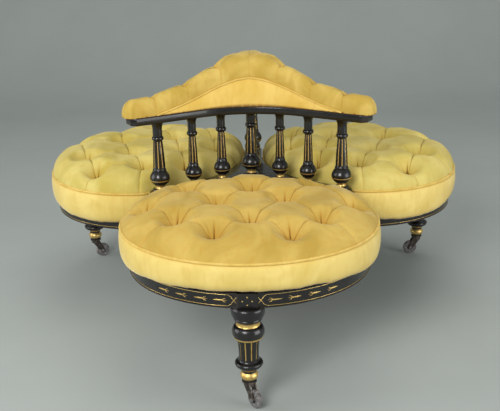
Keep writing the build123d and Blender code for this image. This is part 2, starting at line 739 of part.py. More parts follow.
def main():
    """Build and write every piece."""
    os.makedirs("parts", exist_ok=True)
    side_cushion, front_cushion = cushion(SIDE_TUFT_SHARES), cushion(FRONT_TUFT_SHARES)
    mirrored = Plane.XZ
    shared = {
        "frame": seat_frame(), "webbing": seat_webbing(), "springs": seat_springs(),
        "dust_cover": dust_cover(), "piping": seat_piping(), "leg_brace": leg_brace(), "leg": leg(),
        "caster_plate": caster_plate()}
    fork, axle, wheel = caster_fork(), caster_axle(), caster_wheel()
    front_buttons, side_buttons = seat_buttons(FRONT_TUFT_SHARES), seat_buttons(SIDE_TUFT_SHARES)
    for seat, angle in SEAT_ANGLES.items():
        for name, shape in shared.items():
            write(seat + "_" + name, turn_all(angle, shape))
        soft = front_cushion if seat == "front" else side_cushion
        buttons = front_buttons if seat == "front" else side_buttons
        if seat == "left":
            soft, buttons = soft.mirror(mirrored), [one.mirror(mirrored) for one in buttons]
        write(seat + "_cushion", turn_all(angle, soft))
        write(seat + "_buttons", turn_all(angle, buttons))
        for name, shape in (("caster_fork", fork), ("caster_axle", axle), ("caster_wheel", wheel)):
            turned_shape = leg_position(around(caster_turns[seat] - angle, shape))
            write(seat + "_" + name, around(angle, turned_shape))
    kinds = {"post": baluster(POST_SHARES, post_radius), "spindle": baluster(SPINDLE_SHARES, spindle_radius)}
    for name, (x, y), kind in baluster_places():
        write(name, Pos(x, y, 0) * kinds[kind])
    write("hub_block", hub_block())
    write("platform_core", platform_core())
    write("platform_board", platform_board())
    write("back_rail", back_rail())
    write("frame_bolts", frame_bolts())
    write("crest_pad", crest_pad())
    write("crest_buttons", crest_buttons())


if __name__ == "__main__":
    main()
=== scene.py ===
"""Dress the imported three-seat conversation sofa in velvet, ebonised wood, gilding and iron."""

import logging
import math
from collections.abc import Sequence
from dataclasses import dataclass, field
from enum import Enum

import bmesh
import bpy
import numpy as np
from mathutils import Matrix, Vector, noise
from mathutils.bvhtree import BVHTree


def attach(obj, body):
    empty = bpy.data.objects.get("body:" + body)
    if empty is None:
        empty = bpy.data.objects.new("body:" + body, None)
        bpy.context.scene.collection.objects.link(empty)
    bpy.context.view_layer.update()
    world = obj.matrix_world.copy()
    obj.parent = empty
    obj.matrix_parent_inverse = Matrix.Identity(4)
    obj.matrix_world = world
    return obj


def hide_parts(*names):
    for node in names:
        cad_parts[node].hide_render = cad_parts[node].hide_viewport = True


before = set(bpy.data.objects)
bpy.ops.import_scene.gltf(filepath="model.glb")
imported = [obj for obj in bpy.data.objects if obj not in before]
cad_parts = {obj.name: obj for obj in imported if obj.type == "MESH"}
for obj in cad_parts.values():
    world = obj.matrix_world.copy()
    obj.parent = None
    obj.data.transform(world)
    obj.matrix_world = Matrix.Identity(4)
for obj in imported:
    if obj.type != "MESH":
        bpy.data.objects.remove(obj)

LOG = logging.getLogger("sofa")
BODY = "sofa"
SEATS = {"front": -90.0, "right": 30.0, "left": 150.0}
ARMS = {"left": -150.0, "right": -30.0, "back": 90.0}
SLOPE = math.radians(60)
WELD = 0.00002
SLIVER = 0.000005


# Plan and mesh helpers


@dataclass(frozen=True)
class Plan:
    """The plan that the seats and the three-armed woodwork share, in metres."""

    frame_half_width: float = 0.310
    frame_half_depth: float = 0.289
    frame_spacing: float = 0.0384
    frame_bottom: float = 0.260
    frame_top: float = 0.297
    bead_depth: float = 0.0012
    board_half_width: float = 0.027
    board_notch: float = 0.088
    soft_clearance: float = 0.00355
    leg_place: float = 0.270

    @property
    def seat_offset(self) -> float:
        """Give how far a seat's centre lies from the middle axis."""
        reach = math.hypot(self.frame_half_depth * math.sin(SLOPE), self.frame_half_width * math.cos(SLOPE))
        return (reach + self.frame_spacing / 2) / math.sin(SLOPE)

    def from_seat(self, seat: str, points: np.ndarray) -> np.ndarray:
        """Move points from a seat's own frame, with its leg towards +X, to the sofa's.

        Args:
            seat: The seat's name.
            points: An array whose last axis is x, y, z.

        Returns:
            The moved points.
        """
        return turned(points + np.array([self.seat_offset, 0.0, 0.0]), SEATS[seat])


PLAN = Plan()


def turned(points: np.ndarray, degrees: float) -> np.ndarray:
    """Turn points about the middle axis.

    Args:
        points: An array whose last axis is x, y, z.
        degrees: The turn, anticlockwise from above.

    Returns:
        The turned points.
    """
    c, s = math.cos(math.radians(degrees)), math.sin(math.radians(degrees))
    x, y, z = points[..., 0], points[..., 1], points[..., 2]
    return np.stack([c * x - s * y, s * x + c * y, z], -1)


def rippled(points: np.ndarray, scale: float, seed: float = 0.0) -> np.ndarray:
    """Give smooth noise, about -1 to 1, at each point.

    Args:
        points: An array whose last axis is x, y, z.
        scale: How many ripples there are to a metre.
        seed: A shift that gives another pattern.

    Returns:
        One value for each point.
    """
    places = points.reshape(-1, points.shape[-1]).tolist()
    found = [noise.noise(Vector((x * scale + seed, y * scale - seed, z * scale))) for x, y, z in places]
    return np.array(found).reshape(points.shape[:-1]) * 2.0


def smooth_step(low: float, high: float, value: np.ndarray) -> np.ndarray:
    """Give a soft step from 0 to 1 between two values."""
    share = np.clip((value - low) / (high - low), 0.0, 1.0)
    return share * share * (3 - 2 * share)


@dataclass
class Shape:
    """Points, faces, finish numbers and painted values gathered for one piece."""

    points: list[np.ndarray] = field(default_factory=list)
    faces: list[tuple[int, ...]] = field(default_factory=list)
    finishes: list[int] = field(default_factory=list)
    values: dict[str, list[np.ndarray]] = field(default_factory=dict)
    count: int = 0

    def add_points(self, points: np.ndarray, **values: np.ndarray) -> np.ndarray:
        """Add points with their painted values.

        Args:
            points: An array whose last axis is x, y, z.
            **values: One number for each point, under the attribute's name.

        Returns:
            The points' numbers, in the array's shape.
        """
        number = int(np.prod(points.shape[:-1]))
        for name in set(values) | set(self.values):
            held = self.values.setdefault(name, [np.zeros(self.count)] if self.count else [])
            held.append(np.broadcast_to(values.get(name, 0.0), points.shape[:-1]).reshape(-1))
        self.points.append(points.reshape(-1, 3))
        first, self.count = self.count, self.count + number
        return np.arange(first, first + number).reshape(points.shape[:-1])

    def add_faces(self, index: np.ndarray, wrap: bool = False, finish: int | np.ndarray = 0) -> None:
        """Add the quads of a grid of points.

        Args:
            index: The points' numbers, in rows and columns.
            wrap: Whether the last column joins the first.
            finish: The finish number, or one for each quad.
        """
        ahead = np.roll(index, -1, axis=1)
        quads = np.stack([index[:-1], ahead[:-1], ahead[1:], index[1:]], -1)
        quads = quads if wrap else quads[:, :-1]
        self.faces += [tuple(quad) for quad in quads.reshape(-1, 4).tolist()]
        self.finishes += np.broadcast_to(finish, quads.shape[:-1]).reshape(-1).tolist()

    def add_grid(
            self, points: np.ndarray, wrap: bool = False, finish: int | np.ndarray = 0,
            **values: np.ndarray) -> np.ndarray:
        """Add a grid of points with its quads.

        Args:
            points: Rows and columns of points.
            wrap: Whether the last column joins the first.
            finish: The finish number, or one for each quad.
            **values: One number for each point, under the attribute's name.

        Returns:
            The points' numbers, in rows and columns.
        """
        index = self.add_points(points, **values)
        self.add_faces(index, wrap, finish)
        return index

    def add_fan(self, ring: np.ndarray, centre: int, finish: int = 0) -> None:
        """Close a ring of points to one point.

        Args:
            ring: The numbers of the ring's points.
            centre: The number of the point in the middle.
            finish: The finish number.
        """
        for a, b in zip(ring.tolist(), np.roll(ring, -1).tolist()):
            self.faces.append((a, b, centre))
            self.finishes.append(finish)

    def add_cap(self, ring: np.ndarray) -> None:
        """Close a ring of points with one flat face."""
        self.faces.append(tuple(ring.tolist()))
        self.finishes.append(0)

    def piece(
            self, name: str, finishes: Sequence[bpy.types.Material],
            sharp: float = 180.0) -> bpy.types.Object:
        """Make the piece, weld its seams and let it ride on the sofa.

        Args:
            name: The piece's name.
            finishes: Its materials, in the order of the finish numbers.
            sharp: Edges that turn by more degrees than this stay crisp.

        Returns:
            The new object.
        """
        mesh = bpy.data.meshes.new(name)
        mesh.from_pydata(np.concatenate(self.points).tolist(), [], self.faces)
        mesh.polygons.foreach_set("material_index", self.finishes)
        for key, blocks in self.values.items():
            layer = mesh.attributes.new(key, "FLOAT", "POINT")
            layer.data.foreach_set("value", np.concatenate(blocks).astype(np.float32))
        held = bmesh.new()
        held.from_mesh(mesh)
        bmesh.ops.remove_doubles(held, verts=held.verts, dist=WELD)
        bmesh.ops.dissolve_degenerate(held, edges=held.edges, dist=SLIVER)
        bmesh.ops.recalc_face_normals(held, faces=held.faces)
        held.to_mesh(mesh)
        held.free()
        mesh.polygons.foreach_set("use_smooth", [True] * len(mesh.polygons))
        if sharp < 180:
            mesh.set_sharp_from_angle(angle=math.radians(sharp))
        for finish in finishes:
            mesh.materials.append(finish)
        made = bpy.data.objects.new(name, mesh)
        bpy.context.scene.collection.objects.link(made)
        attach(made, BODY)
        LOG.info("%s: %d faces", name, len(mesh.polygons))
        return made


def tube(shape: Shape, path: np.ndarray, radius: float | np.ndarray, wrap: bool, sides: int = 12) -> None:
    """Add a round cord along a path.

    Args:
        shape: What the cord is added to.
        path: The points of its middle line.
        radius: Its radius, all along or at each point.
        wrap: Whether the path closes on itself.
        sides: The number of points round the cord.
    """
    ahead = np.roll(path, -1, axis=0) - np.roll(path, 1, axis=0)
    if not wrap:
        ahead[0], ahead[-1] = path[1] - path[0], path[-1] - path[-2]
    ahead /= np.linalg.norm(ahead, axis=1, keepdims=True)
    out = np.cross(ahead, [0.0, 0.0, 1.0])
    out /= np.maximum(np.linalg.norm(out, axis=1, keepdims=True), 1e-9)
    side = np.cross(ahead, out)
    turns = np.linspace(0, 2 * math.pi, sides, endpoint=False)
    reach = np.broadcast_to(radius, len(path))[None, :, None]
    ring = np.cos(turns)[:, None, None] * side[None] + np.sin(turns)[:, None, None] * out[None]
    points = np.swapaxes(path[None] + reach * ring, 0, 1)
    if wrap:
        points = np.concatenate([points, points[:1]])
    index = shape.add_grid(points, wrap=True)
    if not wrap:
        shape.add_cap(index[0])
        shape.add_cap(index[-1][::-1])


# Finishes


class Sketch:
    """A small helper that places shader nodes and links them."""

    def __init__(self, tree: bpy.types.NodeTree) -> None:
        """Hold the tree that nodes are placed in."""
        self.tree = tree

    def put(
            self, kind: str, inputs: dict[str | int, object] | None = None,
            **settings: object) -> bpy.types.Node:
        """Place a node, set it and link its inputs.

        Args:
            kind: The node's type without its leading "ShaderNode".
            inputs: Values or sockets for the named or numbered inputs.
            **settings: The node's own properties.

        Returns:
            The node.
        """
        made = self.tree.nodes.new("ShaderNode" + kind)
        for name, value in settings.items():
            setattr(made, name, value)
        for name, value in (inputs or {}).items():
            if isinstance(value, bpy.types.NodeSocket):
                self.tree.links.new(value, made.inputs[name])
            else:
                made.inputs[name].default_value = value
        return made

    def math(self, kind: str, *terms: object, clamp: bool = False) -> bpy.types.NodeSocket:
        """Place a math node and give its result."""
        return self.put("Math", dict(enumerate(terms)), operation=kind, use_clamp=clamp).outputs[0]

    def mix(self, share: object, first: object, second: object) -> bpy.types.NodeSocket:
        """Mix two colours and give the result."""
        return self.put("Mix", {0: share, 6: first, 7: second}, data_type="RGBA").outputs[2]

    def span(
            self, value: object, low: float, high: float, to_low: float = 0.0,
            to_high: float = 1.0) -> bpy.types.NodeSocket:
        """Map a value from one range to another, held at the ends, and give the result."""
        given = {"Value": value, "From Min": low, "From Max": high, "To Min": to_low, "To Max": to_high}
        return self.put("MapRange", given).outputs[0]

    def noise(
            self, place: object, scale: float, detail: float = 2.0,
            rough: float = 0.5) -> bpy.types.NodeSocket:
        """Place a noise texture and give its value."""
        given = {"Vector": place, "Scale": scale, "Detail": detail, "Roughness": rough}
        return self.put("TexNoise", given).outputs[0]

    def painted(self, name: str) -> bpy.types.NodeSocket:
        """Give a value that is painted on the mesh."""
        return self.put("Attribute", attribute_name=name).outputs["Fac"]


class Effect(Enum):
    """The effects that several finishes share, each a node group."""

    PILE = "velvet_pile"
    POLISH = "hand_polish"
    RUBBING = "rubbed_metal"
    CLOTH = "plain_weave"


class Effects:
    """The shared node groups, each built when it is first asked for."""

    def __init__(self) -> None:
        """Start with no group built."""
        self.built: dict[Effect, bpy.types.NodeTree] = {}

    def place(self, sketch: Sketch, effect: Effect, **inputs: object) -> bpy.types.Node:
        """Place a shared effect in a material.

        Args:
            sketch: The material's sketch.
            effect: The effect to place.
            **inputs: Values or sockets for its inputs, with underscores for spaces.

        Returns:
            The group node.
        """
        if effect not in self.built:
            self.built[effect] = getattr(self, "make_" + effect.name.lower())(effect.value)
        made = sketch.put("Group", node_tree=self.built[effect])
        for name, value in inputs.items():
            socket = made.inputs[name.replace("_", " ")]
            if isinstance(value, bpy.types.NodeSocket):
                sketch.tree.links.new(value, socket)
            else:
                socket.default_value = value
        return made

    @staticmethod
    def start(
            name: str, inputs: dict[str, float],
            outputs: Sequence[str]) -> tuple[Sketch, bpy.types.Node, bpy.types.Node]:
        """Start a group with its named sockets.

        Args:
            name: The group's name.
            inputs: Its input values by name.
            outputs: Its output values' names.

        Returns:
            The sketch, the input node and the output node.
        """
        tree = bpy.data.node_groups.new(name, "ShaderNodeTree")
        for label, value in inputs.items():
            socket = tree.interface.new_socket(label, in_out="INPUT", socket_type="NodeSocketFloat")
            socket.default_value = value
        for label in outputs:
            tree.interface.new_socket(label, in_out="OUTPUT", socket_type="NodeSocketFloat")
        return Sketch(tree), tree.nodes.new("NodeGroupInput"), tree.nodes.new("NodeGroupOutput")

    @staticmethod
    def close(sketch: Sketch, end: bpy.types.Node, **outputs: object) -> bpy.types.NodeTree:
        """Link a group's results to its outputs.

        Args:
            sketch: The group's sketch.
            end: Its output node.
            **outputs: The results by output name, with underscores for spaces.

        Returns:
            The group.
        """
        for name, value in outputs.items():
            sketch.tree.links.new(value, end.inputs[name.replace("_", " ")])
        return sketch.tree

    def make_pile(self, name: str) -> bpy.types.NodeTree:
        """Build velvet pile: brushed patches, crushed spots and fine fibres.

        Args:
            name: The group's name.

        Returns:
            The group.
        """
        inputs = {"Patch Scale": 9.0, "Fibre Scale": 900.0}
        sketch, given, end = self.start(name, inputs, ["Brushed", "Crushed", "Height"])
        place = sketch.put("TexCoord").outputs["Object"]
        patches = {"Vector": place, "Scale": given.outputs[0], "Detail": 3.0, "Distortion": 0.8}
        broad = sketch.put("TexNoise", patches)
        brushed = sketch.span(broad.outputs[0], 0.36, 0.64)
        streak = sketch.put("Mapping", {"Vector": place, "Scale": (1.0, 1.0, 0.25)}).outputs[0]
        crushed = sketch.span(sketch.noise(streak, 60.0, 3.0, 0.6), 0.50, 0.68)
        fibre = sketch.put("TexNoise", {"Vector": place, "Scale": given.outputs[1], "Detail": 2.0}).outputs[0]
        tufted = sketch.math("MULTIPLY", sketch.noise(place, 240.0), 0.4)
        height = sketch.math("ADD", sketch.math("MULTIPLY", fibre, 0.6), tufted)
        return self.close(sketch, end, Brushed=brushed, Crushed=crushed, Height=height)

    def make_polish(self, name: str) -> bpy.types.NodeTree:
        """Build hand-polished wood: faint grain, smears and small knocks.

        Args:
            name: The group's name.

        Returns:
            The group.
        """
        inputs = {"Grain Scale": 40.0, "Knocks": 0.5}
        sketch, given, end = self.start(name, inputs, ["Smear", "Knock", "Height"])
        place = sketch.put("TexCoord").outputs["Object"]
        long = sketch.put("Mapping", {"Vector": place, "Scale": (1.0, 1.0, 0.12)}).outputs[0]
        lines = {"Vector": long, "Scale": given.outputs[0], "Detail": 5.0, "Roughness": 0.6}
        grain = sketch.put("TexNoise", lines).outputs[0]
        smear = sketch.span(sketch.noise(place, 14.0, 4.0, 0.62), 0.35, 0.7)
        spots = sketch.noise(place, 170.0, 3.0, 0.7)
        knock = sketch.math("MULTIPLY", sketch.span(spots, 0.66, 0.72), given.outputs[1])
        sunk = sketch.math("MULTIPLY", knock, 0.8)
        height = sketch.math("SUBTRACT", sketch.math("MULTIPLY", grain, 0.5), sunk)
        return self.close(sketch, end, Smear=smear, Knock=knock, Height=height)

    def make_rubbing(self, name: str) -> bpy.types.NodeTree:
        """Build rubbed metal or leaf: worn places, tarnish and a fine pitted surface.

        Args:
            name: The group's name.

        Returns:
            The group.
        """
        sketch, given, end = self.start(name, {"Wear": 0.5, "Scale": 90.0}, ["Worn", "Tarnish", "Height"])
        place = sketch.put("TexCoord").outputs["Object"]
        rubbed = {"Vector": place, "Scale": given.outputs[1], "Detail": 4.0, "Roughness": 0.65}
        patch = sketch.put("TexNoise", rubbed).outputs[0]
        worn = sketch.math("MULTIPLY", sketch.span(patch, 0.52, 0.66), given.outputs[0], clamp=True)
        tarnish = sketch.span(sketch.noise(place, 38.0, 3.0, 0.6), 0.38, 0.68)
        pits = sketch.noise(place, 420.0, 3.0, 0.6)
        height = sketch.math("ADD", pits, sketch.math("MULTIPLY", worn, -0.7))
        return self.close(sketch, end, Worn=worn, Tarnish=tarnish, Height=height)

    def make_cloth(self, name: str) -> bpy.types.NodeTree:
        """Build a plain weave seen from close by: threads over and under.

        Args:
            name: The group's name.

        Returns:
            The group.
        """
        sketch, given, end = self.start(name, {"Threads": 600.0}, ["Thread", "Slub"])
        place = sketch.put("TexCoord").outputs["Object"]
        lines = {"Vector": place, "Scale": given.outputs[0], "Distortion": 0.6}
        waves = []
        for axis in ("X", "Y"):
            waves.append(sketch.put("TexWave", lines, bands_direction=axis).outputs["Fac"])
        thread = sketch.math("MULTIPLY", waves[0], waves[1])
        slub = sketch.span(sketch.noise(place, 45.0, 4.0, 0.6), 0.3, 0.7)
        return self.close(sketch, end, Thread=thread, Slub=slub)


EFFECTS = Effects()


def new_material(name: str) -> tuple[bpy.types.Material, Sketch, bpy.types.Node]:
    """Start a material with its Principled shader.

    Args:
        name: The material's name.

    Returns:
        The material, its sketch and the shader node.
    """
    made = bpy.data.materials.new(name)
    made.use_nodes = True
    return made, Sketch(made.node_tree), made.node_tree.nodes["Principled BSDF"]


def bumped(sketch: Sketch, shader: bpy.types.Node, height: object, strength: float, depth: float) -> None:
    """Give a shader a bump from a height value."""
    bump = sketch.put("Bump", {"Height": height, "Strength": strength, "Distance": depth})
    sketch.tree.links.new(bump.outputs[0], shader.inputs["Normal"])


def set_shader(sketch: Sketch, shader: bpy.types.Node, values: dict[str, object]) -> None:
    """Set or link a shader's inputs by name.

    Args:
        sketch: The material's sketch.
        shader: The shader node.
        values: A value or a socket for each named input.
    """
    for name, value in values.items():
        if isinstance(value, bpy.types.NodeSocket):
            sketch.tree.links.new(value, shader.inputs[name])
        else:
            shader.inputs[name].default_value = value


Colour = tuple[float, float, float, float]


@dataclass(frozen=True)
class Velvet:
    """Cotton velvet with its pile brushed and crushed by use, and painted shade in its folds, pits and tucks.
    """

    name: str
    body: Colour
    brushed: Colour
    # deep is the colour of crushed pile and also of the painted shade in pits; fold is the painted shade at
    # the bottom of creases.
    deep: Colour
    fold: Colour = (0.13, 0.052, 0.008, 1.0)
    hem: Colour = (0.20, 0.060, 0.018, 1.0)
    sheen: float = 0.30
    patch_scale: float = 9.0

    def make(self) -> bpy.types.Material:
        """Build the material.

        Returns:
            The material, which reads the painted values fold and hem; fold is painted shade.
        """
        made, sketch, shader = new_material(self.name)
        pile = EFFECTS.place(sketch, Effect.PILE, Patch_Scale=self.patch_scale)
        colour = sketch.mix(sketch.math("MULTIPLY", pile.outputs["Brushed"], 0.8), self.body, self.brushed)
        # The value fold is painted shade: deep folds, pits, slits and the places under the cord and the
        # cushion are made warmer and darker.
        fold = sketch.painted("fold")
        crushed = sketch.math("MULTIPLY", pile.outputs["Crushed"], 0.25)
        crease_shade_and_crush = sketch.math("MAXIMUM", sketch.span(fold, 0.08, 0.75, 0.0, 0.75), crushed)
        colour = sketch.mix(crease_shade_and_crush, colour, self.deep)
        colour = sketch.mix(sketch.span(fold, 0.55, 0.95), colour, self.fold)
        colour = sketch.mix(sketch.painted("hem"), colour, self.hem)
        rough = sketch.span(pile.outputs["Brushed"], 0.0, 1.0, 0.92, 0.78)
        set_shader(sketch, shader, {
            "Base Color": colour, "Roughness": rough, "Specular IOR Level": 0.15, "Sheen Weight": self.sheen,
            "Sheen Roughness": 0.38, "Sheen Tint": (1.0, 0.86, 0.52, 1.0)})
        bumped(sketch, shader, pile.outputs["Height"], 0.35, 0.0006)
        return made


@dataclass(frozen=True)
class PolishedWood:
    """Ebonised or bare wood under hand polish."""

    name: str
    body: Colour
    rubbed: Colour
    smooth: float = 0.20
    dull: float = 0.40
    coat: float = 0.45
    grain_scale: float = 40.0

    def make(self) -> bpy.types.Material:
        """Build the material.

        Returns:
            The material.
        """
        made, sketch, shader = new_material(self.name)
        polish = EFFECTS.place(sketch, Effect.POLISH, Grain_Scale=self.grain_scale)
        edge = sketch.span(sketch.put("NewGeometry").outputs["Pointiness"], 0.53, 0.60)
        rub = sketch.math("MULTIPLY", edge, sketch.span(polish.outputs["Smear"], 0.2, 0.9))
        knock = sketch.math("MULTIPLY", polish.outputs["Knock"], 0.6)
        rub = sketch.math("MAXIMUM", sketch.math("MULTIPLY", rub, 0.55), knock)
        colour = sketch.mix(rub, self.body, self.rubbed)
        rough = sketch.span(polish.outputs["Smear"], 0.0, 1.0, self.smooth, self.dull)
        set_shader(sketch, shader, {
            "Base Color": colour, "Roughness": rough, "Coat Weight": self.coat, "Coat Roughness": 0.06,
            "Specular IOR Level": 0.35})
        bumped(sketch, shader, polish.outputs["Height"], 0.12, 0.0008)
        return made


@dataclass(frozen=True)
class WornMetal:
    """Gilding, bronze paint, iron or steel with rubbed places."""

    name: str
    body: Colour
    tarnished: Colour
    worn: Colour
    metal: float = 1.0
    shine: float = 0.32
    dull: float = 0.55
    wear: float = 0.5
    wear_scale: float = 90.0

    def make(self) -> bpy.types.Material:
        """Build the material.

        Returns:
            The material.
        """
        made, sketch, shader = new_material(self.name)
        rubbing = EFFECTS.place(sketch, Effect.RUBBING, Wear=self.wear, Scale=self.wear_scale)
        tarnish = sketch.math("MULTIPLY", rubbing.outputs["Tarnish"], 0.6)
        colour = sketch.mix(tarnish, self.body, self.tarnished)
        colour = sketch.mix(rubbing.outputs["Worn"], colour, self.worn)
        metal = sketch.span(rubbing.outputs["Worn"], 0.0, 1.0, self.metal, self.metal * 0.2)
        rough = sketch.span(rubbing.outputs["Tarnish"], 0.0, 1.0, self.shine, self.dull)
        set_shader(sketch, shader, {"Base Color": colour, "Metallic": metal, "Roughness": rough})
        bumped(sketch, shader, rubbing.outputs["Height"], 0.15, 0.0005)
        return made


@dataclass(frozen=True)
class WovenCloth:
    """Plain woven cloth or webbing."""

    name: str
    body: Colour
    shade: Colour
    threads: float = 600.0

    def make(self) -> bpy.types.Material:
        """Build the material.

        Returns:
            The material.
        """
        made, sketch, shader = new_material(self.name)
        cloth = EFFECTS.place(sketch, Effect.CLOTH, Threads=self.threads)
        colour = sketch.mix(cloth.outputs["Thread"], self.shade, self.body)
        colour = sketch.mix(sketch.math("MULTIPLY", cloth.outputs["Slub"], 0.35), colour, self.shade)
        set_shader(sketch, shader, {
            "Base Color": colour, "Roughness": sketch.span(cloth.outputs["Slub"], 0.0, 1.0, 0.8, 0.95),
            "Sheen Weight": 0.15})
        bumped(sketch, shader, cloth.outputs["Thread"], 0.4, 0.0006)
        return made


@dataclass(frozen=True)
class Ground:
    """The plain pale floor and wall."""

    name: str = "studio_ground"
    body: Colour = (0.405, 0.435, 0.412, 1.0)

    def make(self) -> bpy.types.Material:
        """Build the material.

        Returns:
            The material.
        """
        made, sketch, shader = new_material(self.name)
        place = sketch.put("TexCoord").outputs["Object"]
        cloud = sketch.noise(place, 2.2, 4.0, 0.6)
        shade = tuple(0.93 * part for part in self.body[:3]) + (1.0,)
        colour = sketch.mix(sketch.span(cloud, 0.3, 0.7), self.body, shade)
        set_shader(sketch, shader, {"Base Color": colour, "Roughness": 0.75, "Specular IOR Level": 0.25})
        return made


@dataclass
class Wardrobe:
    """Every finish of the sofa, made once and asked for by name."""

    made: dict[str, bpy.types.Material] = field(default_factory=dict)

    def __post_init__(self) -> None:
        """Build every finish."""
        # The velvets are copies of one cloth. The side seats' copy is lighter and greener, and the boxing,
        # cord and panel copies are lighter still, all as painted light. The button copy is darker, as painted
        # shade in the pits.
        listed = [
            Velvet("front_velvet", (0.46, 0.305, 0.058, 1), (0.64, 0.450, 0.115, 1), (0.54, 0.260, 0.028, 1)),
            Velvet("side_velvet_lit", (0.52, 0.410, 0.090, 1), (0.70, 0.580, 0.190, 1), (0.56, 0.340, 0.040, 1)),
            Velvet(
                "boxing_velvet_lit", (0.70, 0.515, 0.140, 1), (0.82, 0.640, 0.220, 1), (0.62, 0.380, 0.070, 1),
                sheen=0.8),
            Velvet(
                "cord_velvet_lit", (0.64, 0.430, 0.095, 1), (0.76, 0.550, 0.160, 1), (0.52, 0.280, 0.045, 1),
                patch_scale=30.0),
            Velvet(
                "crest_velvet", (0.50, 0.335, 0.062, 1), (0.68, 0.490, 0.130, 1), (0.48, 0.240, 0.030, 1),
                patch_scale=14.0),
            Velvet(
                "panel_velvet_lit", (0.72, 0.480, 0.100, 1), (0.84, 0.600, 0.170, 1), (0.60, 0.320, 0.045, 1),
                patch_scale=12.0),
            Velvet(
                "button_velvet", (0.42, 0.240, 0.040, 1), (0.52, 0.320, 0.070, 1), (0.38, 0.170, 0.020, 1),
                patch_scale=60.0),
            PolishedWood("ebonised_wood", (0.0060, 0.0054, 0.0052, 1), (0.045, 0.025, 0.014, 1)),
            PolishedWood(
                "planed_beech", (0.42, 0.26, 0.13, 1), (0.52, 0.36, 0.20, 1),
                smooth=0.5, dull=0.75, coat=0.0, grain_scale=60.0),
            WornMetal(
                "gilding", (0.86, 0.60, 0.20, 1), (0.52, 0.33, 0.10, 1), (0.10, 0.055, 0.02, 1),
                metal=0.85, shine=0.30, dull=0.5, wear=0.55),
            WornMetal(
                "bronze_paint", (0.45, 0.30, 0.11, 1), (0.22, 0.14, 0.06, 1), (0.05, 0.03, 0.016, 1),
                metal=0.8, shine=0.35, dull=0.6, wear=0.7),
            WornMetal(
                "caster_iron", (0.060, 0.052, 0.046, 1), (0.085, 0.060, 0.040, 1), (0.20, 0.17, 0.14, 1),
                metal=0.75, shine=0.38, dull=0.6, wear=0.6),
            WornMetal(
                "caster_tread", (0.16, 0.15, 0.145, 1), (0.07, 0.062, 0.058, 1), (0.42, 0.40, 0.39, 1),
                metal=0.3, shine=0.5, dull=0.75, wear=0.9, wear_scale=160.0),
            WornMetal(
                "spring_steel", (0.24, 0.19, 0.14, 1), (0.14, 0.10, 0.07, 1), (0.34, 0.31, 0.28, 1),
                metal=0.9, shine=0.35, dull=0.55, wear=0.4),
            WornMetal(
                "bolt_steel", (0.34, 0.33, 0.32, 1), (0.20, 0.17, 0.14, 1), (0.46, 0.45, 0.44, 1),
                metal=0.95, shine=0.3, dull=0.5, wear=0.4),
            WovenCloth("jute_webbing", (0.46, 0.35, 0.20, 1), (0.26, 0.18, 0.09, 1), 260.0),
            WovenCloth("dust_cloth", (0.045, 0.043, 0.042, 1), (0.020, 0.019, 0.018, 1), 700.0)]
        for finish in listed:
            self.made[finish.name] = finish.make()

    def get(self, *names: str) -> list[bpy.types.Material]:
        """Give finishes by name."""
        return [self.made[name] for name in names]


# Soft pieces


Share = tuple[float, float]


def covered_buttons(node: str, feet: np.ndarray, radius: float, height: float, finishes: Wardrobe) -> None:
    """Build a set of covered buttons, each a dome whose cloth is gathered towards its rim.

    Args:
        node: The node that they replace.
        feet: Where each stands.
        radius: Their radius.
        height: Their height.
        finishes: The sofa's finishes.
    """
    shape = Shape()
    turns = np.linspace(0, 2 * math.pi, 36, endpoint=False)
    for number, foot in enumerate(feet):
        rings, folds = [], []
        for share in np.linspace(0, 1, 9)[:-1]:
            rise = math.radians(90 * share)
            gather = 0.00035 * (1 - share) * np.cos(9 * turns + number)
            reach = radius * math.cos(rise) ** 0.8 + gather
            level = -0.0006 + (height + 0.0006) * math.sin(rise) + 0.0002 * share * np.cos(3 * turns + number)
            rings.append(foot + np.stack([reach * np.cos(turns), reach * np.sin(turns), level], -1))
            # Painted shade, darkest at the button's foot and along its gathers.
            folds.append(0.8 * (1 - share) ** 3 + 0.12 * (1 - share) * np.cos(9 * turns + number))
        index = shape.add_grid(np.array(rings), wrap=True, fold=np.array(folds))
        top = shape.add_points(foot[None] + [0.0, 0.0, height - 0.0002])
        shape.add_fan(index[-1], int(top[0]))
        shape.add_cap(index[0][::-1])
    made = shape.piece(node + "_covered", finishes.get("button_velvet"))
    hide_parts(node)


